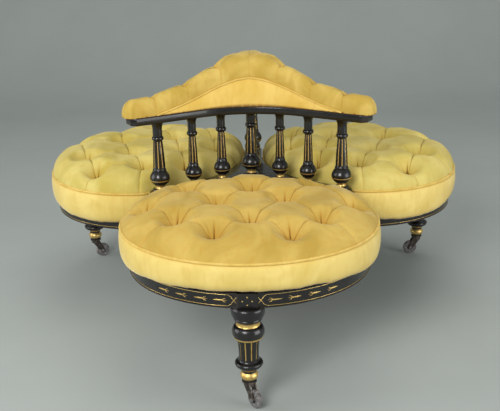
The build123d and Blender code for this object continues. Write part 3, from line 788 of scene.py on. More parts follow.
@dataclass
class SeatCushion:
    """A round seat: deep-buttoned crown, plain boxing and a covered cord between them."""

    seat: str
    tufts: tuple[Share, ...]
    puffs: tuple[tuple[int, ...], ...]
    borders: tuple[tuple[int, ...], ...]
    pleat_turns: dict[int, float]
    half_width: float = 0.330
    half_depth: float = 0.298
    piping_height: float = 0.369
    piping_radius: float = 0.0034
    bottom: float = 0.29765
    button_rise: float = 0.052
    button_depth: float = 0.03265
    crown_rise: float = 0.072
    crown_power: float = 4.0
    crown_root: float = 0.7
    crown_dish: float = 0.013
    back_rise: float = 0.012
    crown_share: float = 0.988
    tuft_floor: float = 0.0085
    tuft_reach: float = 0.058
    fold_depth: float = 0.0065
    fold_fade: float = 0.021
    pleat_depths: dict[int, float] = field(default_factory=dict)
    pleat_depth: float = 0.0055
    rings: int = 24
    puff_rise: float = 0.0012
    slit_depth: float = 0.0050
    slit_width: float = 0.0023
    side_sag: float = 0.0215
    unevenness: float = 0.0010
    uneven_scale: float = 11.0
    covered_radius: float = 0.0082
    covered_height: float = 0.0054
    boxing: tuple[Share, ...] = ((0.0, 0.964), (0.1, 0.985), (0.3, 1.004), (0.6, 1.010), (1.0, 0.996))

    def reach(self, turn: np.ndarray) -> np.ndarray:
        """Give how far the piping line lies from the seat's centre.

        Args:
            turn: Directions in radians, 0 towards the leg.

        Returns:
            One distance for each direction.
        """
        sine, cosine = math.sin(SLOPE), math.cos(SLOPE)
        c, s = np.cos(turn), np.abs(np.sin(turn))
        rim = 1 / np.hypot(c / self.half_depth, s / self.half_width)
        margin = PLAN.board_half_width + PLAN.soft_clearance
        run = np.maximum(s * cosine - c * sine, 1e-6)
        arm = np.minimum((PLAN.seat_offset * sine - margin) / run, 9.0)
        hollow = (PLAN.board_notch * sine - PLAN.board_half_width) / (1 - sine) - PLAN.soft_clearance
        middle = PLAN.board_notch + PLAN.soft_clearance + hollow - PLAN.seat_offset
        tip = middle * c + np.sqrt(np.maximum((middle * c) ** 2 - middle ** 2 + hollow ** 2, 0))
        touch = math.atan2(hollow * cosine, middle - hollow * sine)
        inner = np.where(np.abs(np.arctan2(np.sin(turn), c)) > touch, tip, arm)
        return (rim ** -150 + inner ** -150) ** (-1 / 150)

    def tuft_places(self) -> np.ndarray:
        """Give the tufts' plan places in the seat's own frame."""
        return np.array(self.tufts) * [self.half_depth, self.half_width]

    def button_feet(self) -> np.ndarray:
        """Give where each button's foot stands, in the seat's own frame."""
        away = np.hypot(*np.array(self.tufts).T)
        level = self.piping_height + self.button_rise * np.sqrt(1 - away ** 6) - self.button_depth
        return np.concatenate([self.tuft_places(), level[:, None]], 1)

    def tuft_depths(self) -> np.ndarray:
        """Give how deep each tuft is pressed in to reach its button."""
        places = self.tuft_places()
        return self.crown(places, np.zeros(len(places)))[:, 2] - self.button_feet()[:, 2] - 0.0003

    def crown(self, plan: np.ndarray, drop: np.ndarray) -> np.ndarray:
        """Lift plan points onto the crown and press them in.

        Args:
            plan: Plan places in the seat's own frame.
            drop: How far each is pressed in.

        Returns:
            The points in the seat's own frame.
        """
        away = np.hypot(plan[..., 0], plan[..., 1])
        limit = self.crown_share * self.reach(np.arctan2(plan[..., 1], plan[..., 0]))
        share = np.clip(away / limit, 0, 0.9999)
        power, root = self.crown_power, self.crown_root
        inner = 1 - share ** power
        slope = power * root * share ** (power - 1) * inner ** (root - 1) * self.crown_rise / limit
        lean = smooth_step(0.84, 0.97, share) * slope
        length = np.sqrt(1 + lean ** 2)
        inward = lean / length * drop / np.maximum(away, 1e-6)
        dish = self.crown_dish * (1 - share ** 2) ** 2
        behind = self.back_rise * np.clip(-plan[..., 0] / self.half_depth, 0, 1) ** 0.7 * (1 - share ** 6)
        height = self.piping_height + self.crown_rise * inner ** root - dish + behind - drop / length
        return np.stack([plan[..., 0] * (1 - inward), plan[..., 1] * (1 - inward), height], -1)

    def line(self, first: int, last: int | None = None) -> tuple[np.ndarray, np.ndarray]:
        """Sample a fold between two tufts, or a pleat from a tuft to the piping.

        Args:
            first: The number of the first tuft.
            last: The number of the other tuft, or None for a pleat.

        Returns:
            The plan places without the last, and how deep the line lies at each.
        """
        pleat = self.pleat_depths.get(first, self.pleat_depth) if last is None else None
        places, deep = self.tuft_places(), self.tuft_depths()
        a, b = places[first], self.pleat_end(first) if last is None else places[last]
        length = float(np.hypot(*(b - a)))
        number = max(8, round(length / 0.0034))
        even = np.arange(number) / number
        share = even if pleat is not None else 0.6 * even + 0.4 * (0.5 - 0.5 * np.cos(math.pi * even))
        near, far = share * length, (1 - share) * length
        if pleat is not None:
            base = pleat * (1 - 0.6 * share)
            fade = self.fold_fade if pleat > 0.002 else 0.010
            depth = base + (deep[first] - base) * np.exp(-near / fade)
        else:
            depth = self.fold_depth + (deep[first] - self.fold_depth) * np.exp(-near / self.fold_fade)
            depth += (deep[last] - self.fold_depth) * np.exp(-far / self.fold_fade)
        return a + (b - a) * share[:, None], depth

    def rim_turns(self, first: int, last: int) -> np.ndarray:
        """Sample the piping line between two pleats.

        Args:
            first: The tuft of the first pleat.
            last: The tuft of the next pleat, anticlockwise from above.

        Returns:
            The directions in radians, without the last.
        """
        a, b = self.pleat_turns[first], self.pleat_turns[last]
        b += 360 if b <= a else 0
        number = max(6, round((b - a) / 360 * 460))
        return np.radians(a + (b - a) * np.arange(number) / number)

    def pleat_end(self, tuft: int) -> np.ndarray:
        """Give the plan place where a tuft's pleat meets the piping.

        Args:
            tuft: The tuft's number.

        Returns:
            The place in the seat's own frame.
        """
        turn = math.radians(self.pleat_turns[tuft])
        away = self.crown_share * float(self.reach(np.array(turn)))
        return np.array([away * math.cos(turn), away * math.sin(turn)])

    def ring(self, border: tuple[int, ...], open_to_rim: bool) -> tuple[np.ndarray, np.ndarray]:
        """Sample the line round one puff.

        Args:
            border: The tufts that bound it, in order.
            open_to_rim: Whether it runs on to the piping.

        Returns:
            The plan places and how deep the line lies at each.
        """
        stops = list(border) if open_to_rim else list(border) + [border[0]]
        parts = [self.line(a, b) for a, b in zip(stops, stops[1:])]
        if open_to_rim:
            first, last = border[0], border[-1]
            ends = [0.4 * self.pleat_depths.get(tuft, self.pleat_depth) for tuft in (last, first)]
            parts.append(self.line(last))
            turns = self.rim_turns(first, last)
            away = self.crown_share * self.reach(turns)
            rim = np.stack([away * np.cos(turns), away * np.sin(turns)], -1)
            rim = np.concatenate([rim[1:], self.pleat_end(last)[None]])[::-1]
            side = np.linspace(-1, 1, len(rim) + 1)[:-1]
            parts.append((rim, np.abs(side) ** 14 * np.where(side < 0, ends[0], ends[1])))
            back, deep = self.line(first)
            back = np.concatenate([back[1:], self.pleat_end(first)[None]])[::-1]
            parts.append((back, np.concatenate([deep[1:], [ends[1]]])[::-1]))
        return np.concatenate([part[0] for part in parts]), np.concatenate([part[1] for part in parts])

    def gathers(self, offset: np.ndarray, number: int) -> np.ndarray:
        """Give the narrow gathers that run out from one tuft.

        Args:
            offset: Plan places measured from the tuft.
            number: The tuft's number, which varies the pattern.

        Returns:
            A value from 0 to 1 at each place.
        """
        away = np.hypot(offset[..., 0], offset[..., 1])
        window = smooth_step(0.006, 0.011, away) * (1 - smooth_step(0.024, 0.054, away))
        back = math.radians(90 - SEATS[self.seat])
        spread = [(back + 0.16 * math.sin(2.3 * number), 1.0)]
        for place in range(6):
            lean = 0.22 * math.sin(1.9 * number + 2.6 * place)
            strength = 0.42 + 0.18 * math.cos(3.1 * place + number)
            spread.append((back + (place + 0.5) * math.pi / 3 + lean, strength))
        found = np.zeros_like(away)
        for turn, strength in spread:
            along = offset[..., 0] * math.cos(turn) + offset[..., 1] * math.sin(turn)
            across = offset[..., 1] * math.cos(turn) - offset[..., 0] * math.sin(turn)
            found = np.maximum(found, strength * np.exp(-((across / self.slit_width) ** 2)) * (along > 0))
        return found * window

    def pressed(self, plan: np.ndarray, drop: np.ndarray) -> tuple[np.ndarray, np.ndarray]:
        """Deepen the drop at the tufts and gather the cloth round them.

        Args:
            plan: Plan places in the seat's own frame.
            drop: The drop that the folds give.

        Returns:
            The whole drop and how strongly each place is gathered.
        """
        whole, gathered = drop ** 3, np.zeros_like(drop)
        nearest, most = np.full_like(drop, 9.0), np.zeros_like(drop)
        for number, (tuft, depth) in enumerate(zip(self.tuft_places(), self.tuft_depths())):
            offset = plan - tuft
            away = np.hypot(offset[..., 0], offset[..., 1])
            share = np.clip(1 - (away - self.tuft_floor) / (self.tuft_reach - self.tuft_floor), 0, 1)
            whole = whole + (depth * share ** 1.6) ** 3
            gathered = np.maximum(gathered, self.gathers(offset, number))
            most = np.where(away < nearest, depth, most)
            nearest = np.minimum(away, nearest)
        whole = np.minimum(whole ** (1 / 3), most)
        return np.minimum(whole + self.slit_depth * gathered, most + 0.0004), gathered

    def lumps(self, points: np.ndarray) -> np.ndarray:
        """Give the slow unevenness of the stuffing at points of this seat's plan."""
        return self.unevenness * rippled(points, self.uneven_scale, SEATS[self.seat])

    def add_puff(self, shape: Shape, border: tuple[int, ...], open_to_rim: bool) -> None:
        """Add one puff, a fan of rings from its middle out to its folds.

        Args:
            shape: What it is added to.
            border: The tufts that bound it, in order.
            open_to_rim: Whether it runs on to the piping.
        """
        ring, depth = self.ring(border, open_to_rim)
        ahead = np.roll(ring, -1, axis=0)
        cross = ring[:, 0] * ahead[:, 1] - ahead[:, 0] * ring[:, 1]
        centre = ((ring + ahead) * cross[:, None]).sum(0) / (3 * cross.sum())
        share = 1 - (1 - np.arange(1, self.rings + 1) / self.rings) ** 1.8
        plan = centre + (ring - centre)[None] * share[:, None, None]
        fall = 1 - np.sqrt(1 - np.minimum(share, 1) ** 8)
        drop = depth[None] * fall[:, None]
        lift = self.puff_rise * (1 - share ** 4)[:, None] * np.ones_like(drop)
        whole, gathered = self.pressed(plan, np.maximum(drop, 0))
        points = self.crown(plan, whole - lift)
        points[..., 2] += self.lumps(np.concatenate([plan, plan[..., :1] * 0], -1))
        # Painted shade: the value fold darkens the creases, the slits round each tuft and the deep pits.
        crease = share[:, None] ** 70 * np.clip(depth[None] / 0.009 - 0.25, 0, 1)
        slits = 0.62 * np.maximum(crease, gathered ** 1.8)
        fold = np.clip(whole / 0.042, 0, 1) ** 1.2 * 0.42 + slits
        fold = np.clip(fold + 0.4 * smooth_step(0.036, 0.048, whole), 0, 1)
        index = shape.add_grid(PLAN.from_seat(self.seat, points), wrap=True, fold=fold)
        middle = self.crown(centre[None], np.array([-self.puff_rise]))
        middle[..., 2] += self.lumps(np.array([[centre[0], centre[1], 0.0]]))
        last = shape.add_points(PLAN.from_seat(self.seat, middle))
        shape.add_fan(index[0], int(last[0]))

    def around(self, turns: np.ndarray, share: np.ndarray | float, height: np.ndarray | float) -> np.ndarray:
        """Give points round the cushion at a share of the piping line.

        Args:
            turns: Directions in radians, 0 towards the leg.
            share: The share of the piping line's reach.
            height: The points' height above the floor.

        Returns:
            The points in the seat's own frame.
        """
        away = self.reach(turns) * share
        level = np.broadcast_to(height, turns.shape)
        return np.stack([away * np.cos(turns), away * np.sin(turns), level], -1)

    def add_boxing(self, shape: Shape) -> None:
        """Add the band below the cord, with its uneven lower edge, and the underside.

        Args:
            shape: What it is added to.
        """
        turns = np.concatenate([self.rim_turns(border[0], border[-1]) for border in self.borders])
        curve = np.polyfit(*np.array(self.boxing).T, 4)
        flat = np.stack([np.cos(turns), np.sin(turns), turns * 0], -1)
        ragged = 0.0022 + 0.0017 * rippled(flat, 4.2, SEATS[self.seat] + 5)
        ragged += 0.0008 * rippled(flat, 17.0, 2.0)
        fine = rippled(flat, 26.0, SEATS[self.seat])
        side = np.sin(turns) ** 4
        rows = [
            self.around(turns, self.crown_share, self.piping_height),
            self.around(turns, 0.986, self.piping_height - 0.0032)]
        low = self.bottom + np.maximum(ragged, 0) - self.side_sag * side
        levels = np.concatenate([np.linspace(1, 0.1, 13), [0.05, 0.0]])
        for level in levels:
            height = low + (self.piping_height - 0.0045 - low) * level
            gather = 0.0009 * fine * (np.exp(-((1 - level) / 0.2)) + 0.7 * np.exp(-level / 0.25))
            slow = 0.0012 * rippled(flat + [0.0, 0.0, level * 0.3], 5.0, 3.0)
            rows.append(self.around(turns, np.polyval(curve, level) + gather + slow, height))
        rows.append(self.around(turns, 0.955 - 0.016 * side, self.bottom + np.maximum(ragged, 0)))
        rows.append(self.around(turns, 0.925, self.bottom))
        points = PLAN.from_seat(self.seat, np.array(rows))
        hem = np.zeros(points.shape[:2])
        hem[-4:] = 0.2
        # Painted shade: fold darkens the rows under the cord, the rows where the band turns under the
        # cushion, and the underside.
        fold = np.zeros(points.shape[:2])
        fold[:2], fold[2], fold[-5], fold[-4], fold[-3:] = 0.85, 0.3, 0.2, 0.5, 0.9
        index = shape.add_grid(points, wrap=True, finish=1, fold=fold, hem=hem)
        centre = PLAN.from_seat(self.seat, np.array([[0.0, 0.0, self.bottom]]))
        middle = shape.add_points(centre, fold=np.ones(1))
        shape.add_fan(index[-1], int(middle[0]), 1)

    def build(self, finishes: Wardrobe) -> None:
        """Build the cushion and its cord.

        Args:
            finishes: The sofa's finishes.
        """
        shape = Shape()
        for border in self.puffs:
            self.add_puff(shape, border, False)
        for border in self.borders:
            self.add_puff(shape, border, True)
        self.add_boxing(shape)
        top = "front_velvet" if self.seat == "front" else "side_velvet_lit"
        cover = shape.piece(self.seat + "_seat_cover", finishes.get(top, "boxing_velvet_lit"))
        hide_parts(self.seat + "_cushion")
        turns = np.linspace(0, 2 * math.pi, 520, endpoint=False)
        path = self.around(turns, 0.992, self.piping_height)
        shape = Shape()
        fine = rippled(np.stack([np.cos(turns), np.sin(turns), turns * 0], -1), 60.0, 1.0)
        tube(shape, PLAN.from_seat(self.seat, path), self.piping_radius + 0.00018 * fine, True)
        cord = shape.piece(self.seat + "_seat_cord", finishes.get("cord_velvet_lit"))
        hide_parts(self.seat + "_piping")
        feet = PLAN.from_seat(self.seat, self.button_feet())
        covered_buttons(self.seat + "_buttons", feet, self.covered_radius, self.covered_height, finishes)


FRONT_TUFTS = (
    (0.65, -0.235), (0.66, 0.31),
    (0.395, -0.53), (0.45, 0.02), (0.40, 0.54),
    (0.04, -0.80), (0.01, -0.245), (-0.055, 0.275), (0.01, 0.80),
    (-0.33, -0.51), (-0.325, 0.01), (-0.42, 0.515),
    (-0.66, -0.25), (-0.67, 0.27))
SIDE_TUFTS = (
    (0.80, -0.21), (0.70, 0.305),
    (0.32, -0.61), (0.39, -0.02), (0.38, 0.55),
    (-0.01, -0.825), (-0.01, -0.34), (-0.04, 0.31), (0.0, 0.80),
    (-0.365, -0.57), (-0.365, -0.015), (-0.39, 0.53),
    (-0.65, -0.31), (-0.64, 0.19))
PUFFS = (
    (9, 6, 2, 5), (10, 7, 3, 6), (11, 8, 4, 7), (6, 3, 0, 2), (7, 4, 1, 3), (12, 10, 6, 9), (13, 11, 7, 10))
BORDERS = ((0, 3, 1), (1, 4), (4, 8), (8, 11), (11, 13), (13, 10, 12), (12, 9), (9, 5), (5, 2), (2, 0))
FRONT_PLEATS = {
    0: -12.0, 1: 16.0, 4: 55.0, 8: 92.0, 11: 130.0, 13: 158.0, 12: 202.0, 9: 231.0, 5: 268.0, 2: 307.0}
SIDE_PLEATS = {
    0: -16.0, 1: 27.0, 4: 58.0, 8: 91.0, 11: 127.0, 13: 162.0, 12: 206.0, 9: 240.0, 5: 269.0, 2: 296.0}


SHALLOW_PLEATS = {0: 0.0014, 1: 0.0014}
FULLER_CROWN = {
    "crown_rise": 0.079, "crown_power": 5.0, "crown_root": 0.5, "crown_dish": 0.012, "back_rise": 0.0}


def seat_cushion(seat: str) -> SeatCushion:
    """Give a seat's cushion, with the left one the mirror of the right one.

    Args:
        seat: The seat's name.

    Returns:
        The cushion, ready to build.
    """
    if seat == "front":
        return SeatCushion(
            seat, FRONT_TUFTS, PUFFS, BORDERS, FRONT_PLEATS, pleat_depths=SHALLOW_PLEATS)
    if seat == "right":
        return SeatCushion(seat, SIDE_TUFTS, PUFFS, BORDERS, SIDE_PLEATS, **FULLER_CROWN)
    tufts = tuple((depth, -width) for depth, width in SIDE_TUFTS)
    puffs = tuple(tuple(reversed(puff)) for puff in PUFFS)
    borders = tuple(tuple(reversed(border)) for border in reversed(BORDERS))
    pleats = {tuft: -turn for tuft, turn in SIDE_PLEATS.items()}
    return SeatCushion(seat, tufts, puffs, borders, pleats, **FULLER_CROWN)


@dataclass
class Crest:
    """The padded crest: three ridges that rise to the middle, with a corded panel facing each seat."""

    base: float = 0.60035
    rail_half_width: float = 0.029
    rail_hollow: float = 0.27483
    hollow_along: float = 0.1754
    hollow_across: float = 0.3038
    ridge_end: float = 0.352
    arm_end: float = 0.385
    cord_radius: float = 0.0026
    cord_foot: float = 0.300
    foot_inset: float = 0.0030
    corner_radius: float = 0.015
    side_points: int = 6
    corner_points: int = 15
    hem_height: float = 0.0015
    pleat_width: float = 0.0022
    dip_width: float = 0.0125
    pit_radius: float = 0.0088
    covered_radius: float = 0.0064
    covered_height: float = 0.0042
    ridge: tuple[tuple[float, float], ...] = (
        (0.0, 0.1400), (0.030, 0.1398), (0.055, 0.1360), (0.080, 0.1260), (0.105, 0.1130), (0.141, 0.1020),
        (0.173, 0.0875), (0.208, 0.0715), (0.262, 0.0605), (0.300, 0.0500), (0.330, 0.0488), (0.352, 0.0475))
    cords: tuple[tuple[float, float], ...] = (
        (0.030, 0.0800), (0.045, 0.0790), (0.070, 0.0745), (0.110, 0.0615), (0.177, 0.0360), (0.230, 0.0190),
        (0.285, 0.0050), (0.300, 0.0015), (0.40, 0.0015))
    dips: tuple[tuple[float, float], ...] = ((0.1056, 0.0016), (0.2035, 0.0018), (0.2995, 0.0016))
    button_feet: tuple[tuple[float, float], ...] = ((0.1056, 0.0996), (0.2035, 0.0598), (0.2995, 0.0371))
    rows: int = 26
    panel_rows: int = 9

    def side_line(self, along: np.ndarray, inset: np.ndarray | float) -> np.ndarray:
        """Give how far the rail's edge lies from an arm's middle line.

        Args:
            along: Distances along the arm.
            inset: How far inside the rail's edge the line runs.

        Returns:
            One distance for each place.
        """
        bend = np.sqrt(np.maximum((self.rail_hollow + inset) ** 2 - (self.hollow_along - along) ** 2, 0))
        return np.where(along < self.hollow_along, self.hollow_across - bend, self.rail_half_width - inset)

    def feet(self) -> tuple[np.ndarray, np.ndarray]:
        """Give the plan line of the pad's lower edge and the ridge line above it, for half a side.

        Returns:
            The lower edge's places and the ridge's places, from the middle to the arm's end.
        """
        beside = np.array([0.8, 1.6, 2.4, 3.2, 4.2, 5.5, 7.0, 9.0]) / 1000
        near = np.concatenate([-beside[::-1], [0.0], beside])
        dips = [along + near for along, _ in self.dips]
        base = np.concatenate([np.linspace(0, 0.006, 5), np.linspace(0.009, self.ridge_end, 100)])
        ridge_x = np.unique(np.round(np.concatenate([base] + dips), 5))
        ridge_x = ridge_x[np.concatenate([[True], np.diff(ridge_x) > 0.0005])]
        ridge_x[-1] = self.ridge_end
        foot_x = ridge_x + 0.0360 * (1 - smooth_step(0.0, 0.14, ridge_x))
        foot = np.stack([foot_x, self.side_line(foot_x, self.foot_inset)], -1)
        spine = np.stack([ridge_x, ridge_x * 0], -1)
        corner_x, corner_y = self.arm_end - self.corner_radius, self.rail_half_width - self.foot_inset
        side = np.linspace(self.ridge_end, corner_x, self.side_points + 1)[1:]
        turn = np.linspace(0, math.pi / 2, self.corner_points + 1)[1:]
        cap = np.stack([corner_x + self.corner_radius * np.sin(turn), corner_y * np.cos(turn) ** 0.8], -1)
        end = np.concatenate([np.stack([side, side * 0 + corner_y], -1), cap])
        foot = np.concatenate([foot, end])
        spine = np.concatenate([spine, np.broadcast_to([self.ridge_end, 0.0], end.shape)])
        return foot, spine

    def add_half(self, shape: Shape, degrees: float, side: int) -> tuple[np.ndarray, np.ndarray]:
        """Add half of one side's cover.

        Args:
            shape: What it is added to.
            degrees: The arm's direction.
            side: 1 for the arm's left side seen from the middle, -1 for its right.

        Returns:
            The cord's line on this half and the direction that its panel faces.
        """
        foot, spine = self.feet()
        ridge_height = np.interp(spine[:, 0], *np.array(self.ridge).T)
        cord_height = np.interp(foot[:, 0], *np.array(self.cords).T)
        round_end = np.arange(len(foot)) >= len(foot) - self.side_points - self.corner_points
        cord_height = np.where(round_end, self.hem_height, cord_height)
        lean = 0.055 * np.maximum(cord_height - self.hem_height, 0)
        inward = spine - foot
        inward = inward / np.maximum(np.linalg.norm(inward, axis=1, keepdims=True), 1e-6)
        middle_turn = np.clip((0.10 - spine[:, 0]) / 0.10, 0, 1)
        straight = np.stack([np.zeros(len(foot)), -np.ones(len(foot))], -1)
        cord = foot + (straight * (1 - middle_turn[:, None]) + inward * middle_turn[:, None]) * lean[:, None]
        rise = np.linspace(0, math.pi / 2, self.rows)
        ends = smooth_step(self.ridge_end - 0.030, self.ridge_end + 0.020, foot[:, 0])
        share = np.cos(rise)[:, None] ** (0.72 + 0.22 * ends)[None]
        lift = np.sin(rise) ** 0.95
        out = cord - spine
        width = np.linalg.norm(out, axis=1)
        fuller = np.interp(width, [0.0, 0.030, 0.065], [0.09, 0.11, 0.07]) * (1 - 0.6 * ends)
        bulge = 1 + np.sin(2 * rise)[:, None] * fuller[None]
        plan = spine[None] + out[None] * (share * bulge)[..., None]
        height = cord_height[None] + (ridge_height - cord_height)[None] * lift[:, None]
        press, line = np.zeros_like(height), np.zeros_like(height)
        for (along, depth), (_, level) in zip(self.dips, self.button_feet):
            across = plan[..., 0] - along
            press += depth * lift[:, None] ** 1.2 * np.exp(-((across / self.dip_width) ** 2))
            line += np.exp(-((across / self.pleat_width) ** 2)) * smooth_step(0.0, 0.25, lift)[:, None]
            button = np.hypot(across, plan[..., 1])
            pit = float(np.interp(along, *np.array(self.ridge).T)) - depth - level
            press += pit * np.exp(-((button / self.pit_radius) ** 2))
            gather = np.cos(9 * np.arctan2(plan[..., 1], across))
            press += 0.0007 * gather * np.exp(-((button - 0.012) / 0.007) ** 2)
        seam = np.abs(plan[..., 1] * math.cos(SLOPE) - plan[..., 0] * math.sin(SLOPE))
        near_middle = (spine[None, :, 0] < 0.06) * (1 - 0.6 * lift[:, None])
        line += 0.9 * np.exp(-((seam / self.pleat_width) ** 2)) * near_middle
        press += 0.0012 * line
        ends = smooth_step(self.ridge_end - 0.004, self.ridge_end + 0.014, foot[:, 0])
        angle = np.arctan2(foot[:, 1], np.maximum(foot[:, 0] - self.ridge_end, 1e-4))
        press += 0.0010 * ends[None] * np.cos(10 * angle)[None] * (1 - lift[:, None]) ** 0.8
        run = np.linalg.norm(out, axis=1)[None] * np.ones_like(height)
        steep = np.cos(rise)[:, None] * np.ones_like(height)
        level = np.sin(rise)[:, None] * np.ones_like(height)
        outward = out / np.maximum(width[:, None], 1e-6)
        plan = plan - outward[None] * (press * steep * (run > 0.004))[..., None]
        height = height - press * level
        top = np.concatenate([plan, height[..., None]], -1)
        wobble = rippled(np.stack([top[..., 0] + 0.13 * side, top[..., 1], top[..., 2]], -1), 22.0, degrees)
        top[..., 2] += 0.0009 * wobble * level
        panel_share = np.linspace(0, 1, self.panel_rows)[:, None]
        panel_plan = foot[None] + (cord - foot)[None] * panel_share[..., None]
        panel_height = cord_height[None] * panel_share
        swell = 0.0022 * np.sin(math.pi * panel_share) * np.clip(cord_height / 0.04, 0, 1)[None]
        panel_plan = panel_plan - straight[None] * swell[..., None]
        panel = np.concatenate([panel_plan, panel_height[..., None]], -1)
        # Painted shade: fold darkens the dips, pleats and middle seams, the rows beside the cord, and the
        # underside.
        fold = np.clip(0.3 * press / 0.010 + 0.42 * line, 0, 1)
        fold[:2] = np.maximum(fold[:2], 0.45 * (cord_height > 0.003)[None])
        edge = np.stack([foot[:, 0], foot[:, 0] * 0 + side * 0.4, foot[:, 0] * 0], -1)
        rag = rippled(edge, 120.0, degrees)
        hem = np.clip(1 - (panel_height - 0.0015 * rag[None]) / 0.0032, 0, 1) * 0.85
        under = np.concatenate([spine, np.zeros((len(spine), 1))], -1)[None]

        def placed(points: np.ndarray) -> np.ndarray:
            """Move points of this half from the arm's own frame to the sofa's."""
            flipped = points * np.array([1.0, side, 1.0]) + np.array([0.0, 0.0, self.base])
            return turned(flipped, degrees)

        shape.add_grid(placed(top), fold=fold)
        lower = shape.add_grid(placed(panel), finish=1, hem=hem)
        below = shape.add_points(placed(under), fold=np.ones(len(spine)))
        shape.add_faces(np.stack([lower[0], below[0]]), finish=1)
        path = np.concatenate([cord, cord_height[:, None]], -1)
        reach = foot[:, 0] <= self.cord_foot
        facing = np.concatenate([-straight, np.zeros((len(foot), 1))], -1)
        return placed(path)[reach], (placed(facing) - placed(facing * 0))[reach]

    def build(self, finishes: Wardrobe) -> None:
        """Build the pad and its three cords.

        Args:
            finishes: The sofa's finishes.
        """
        shape = Shape()
        halves: dict[tuple[str, int], tuple[np.ndarray, np.ndarray]] = {}
        for arm, degrees in ARMS.items():
            for side in (1, -1):
                halves[arm, side] = self.add_half(shape, degrees, side)
        cover = shape.piece("crest_cover", finishes.get("crest_velvet", "panel_velvet_lit"))
        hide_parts("crest_pad")
        ridge = np.array([turned(np.array([x, 0.0, self.base + z]), degrees)
                          for degrees in ARMS.values() for x, z in self.button_feet])
        covered_buttons("crest_buttons", ridge, self.covered_radius, self.covered_height, finishes)
        sides = (("front", "left", "right"), ("right", "right", "back"), ("left", "back", "left"))
        for seat, first, second in sides:
            line = np.concatenate([halves[first, 1][0][::-1], halves[second, -1][0][1:]])
            facing = np.concatenate([halves[first, 1][1][::-1], halves[second, -1][1][1:]])
            cord = Shape()
            tube(cord, line + facing * self.cord_radius * 0.5, self.cord_radius, False, sides=10)
            made = cord.piece(seat + "_crest_cord", finishes.get("cord_velvet_lit"))


# Woodwork


@dataclass
class StarBoard:
    """A three-armed board with hollow corners, canted arm ends and softened edges."""

    node: str
    half_width: float
    notch: float
    end: float
    cant: float
    bottom: float
    thickness: float
    edge: float = 0.0022

    def outline(self, inset: float) -> np.ndarray:
        """Give the board's outline, drawn in by an inset.

        Args:
            inset: How far inside the board's edge it runs.

        Returns:
            The outline's points, anticlockwise from above.
        """
        half, notch, end = self.half_width - inset, self.notch - inset, self.end - inset
        hollow = (notch * math.sin(SLOPE) - half) / (1 - math.sin(SLOPE))
        start = (half + hollow) / math.tan(SLOPE)
        cant = self.cant - 0.586 * inset
        sides = [(end - cant, -half), (end, -half + cant), (end, half - cant), (end - cant, half)]
        run = [(start + (end - cant - start) * part, -half) for part in np.linspace(0, 0.96, 9)]
        back = [(end - cant + (start - end + cant) * part, half) for part in np.linspace(0.04, 1, 9)]
        points = [np.array(run + sides + back)]
        centre = (notch + hollow) * np.array([math.cos(SLOPE), math.sin(SLOPE)])
        turns = np.linspace(math.radians(-90), math.radians(-150), 26)[1:-1]
        points.append(centre + hollow * np.stack([np.cos(turns), np.sin(turns)], -1))
        arm = np.concatenate(points)
        arm = np.concatenate([arm, arm[:, :1] * 0], -1)
        return np.concatenate([turned(arm, degrees) for degrees in sorted(ARMS.values())])

    def build(self, finishes: Wardrobe) -> None:
        """Build the board.

        Args:
            finishes: The sofa's finishes.
        """
        shape = Shape()
        rows = []
        for turn in np.radians([0, 30, 60, 90]):
            rows.append((self.edge * (1 - math.sin(turn)), self.edge * (1 - math.cos(turn))))
        levels = rows + [(inset, self.thickness - rise) for inset, rise in reversed(rows)]
        points = np.array([self.outline(inset) + [0, 0, self.bottom + height] for inset, height in levels])
        index = shape.add_grid(points, wrap=True)
        shape.add_cap(index[0])
        shape.add_cap(index[-1][::-1])
        made = shape.piece(self.node + "_wood", finishes.get("ebonised_wood"), sharp=40)
        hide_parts(self.node)


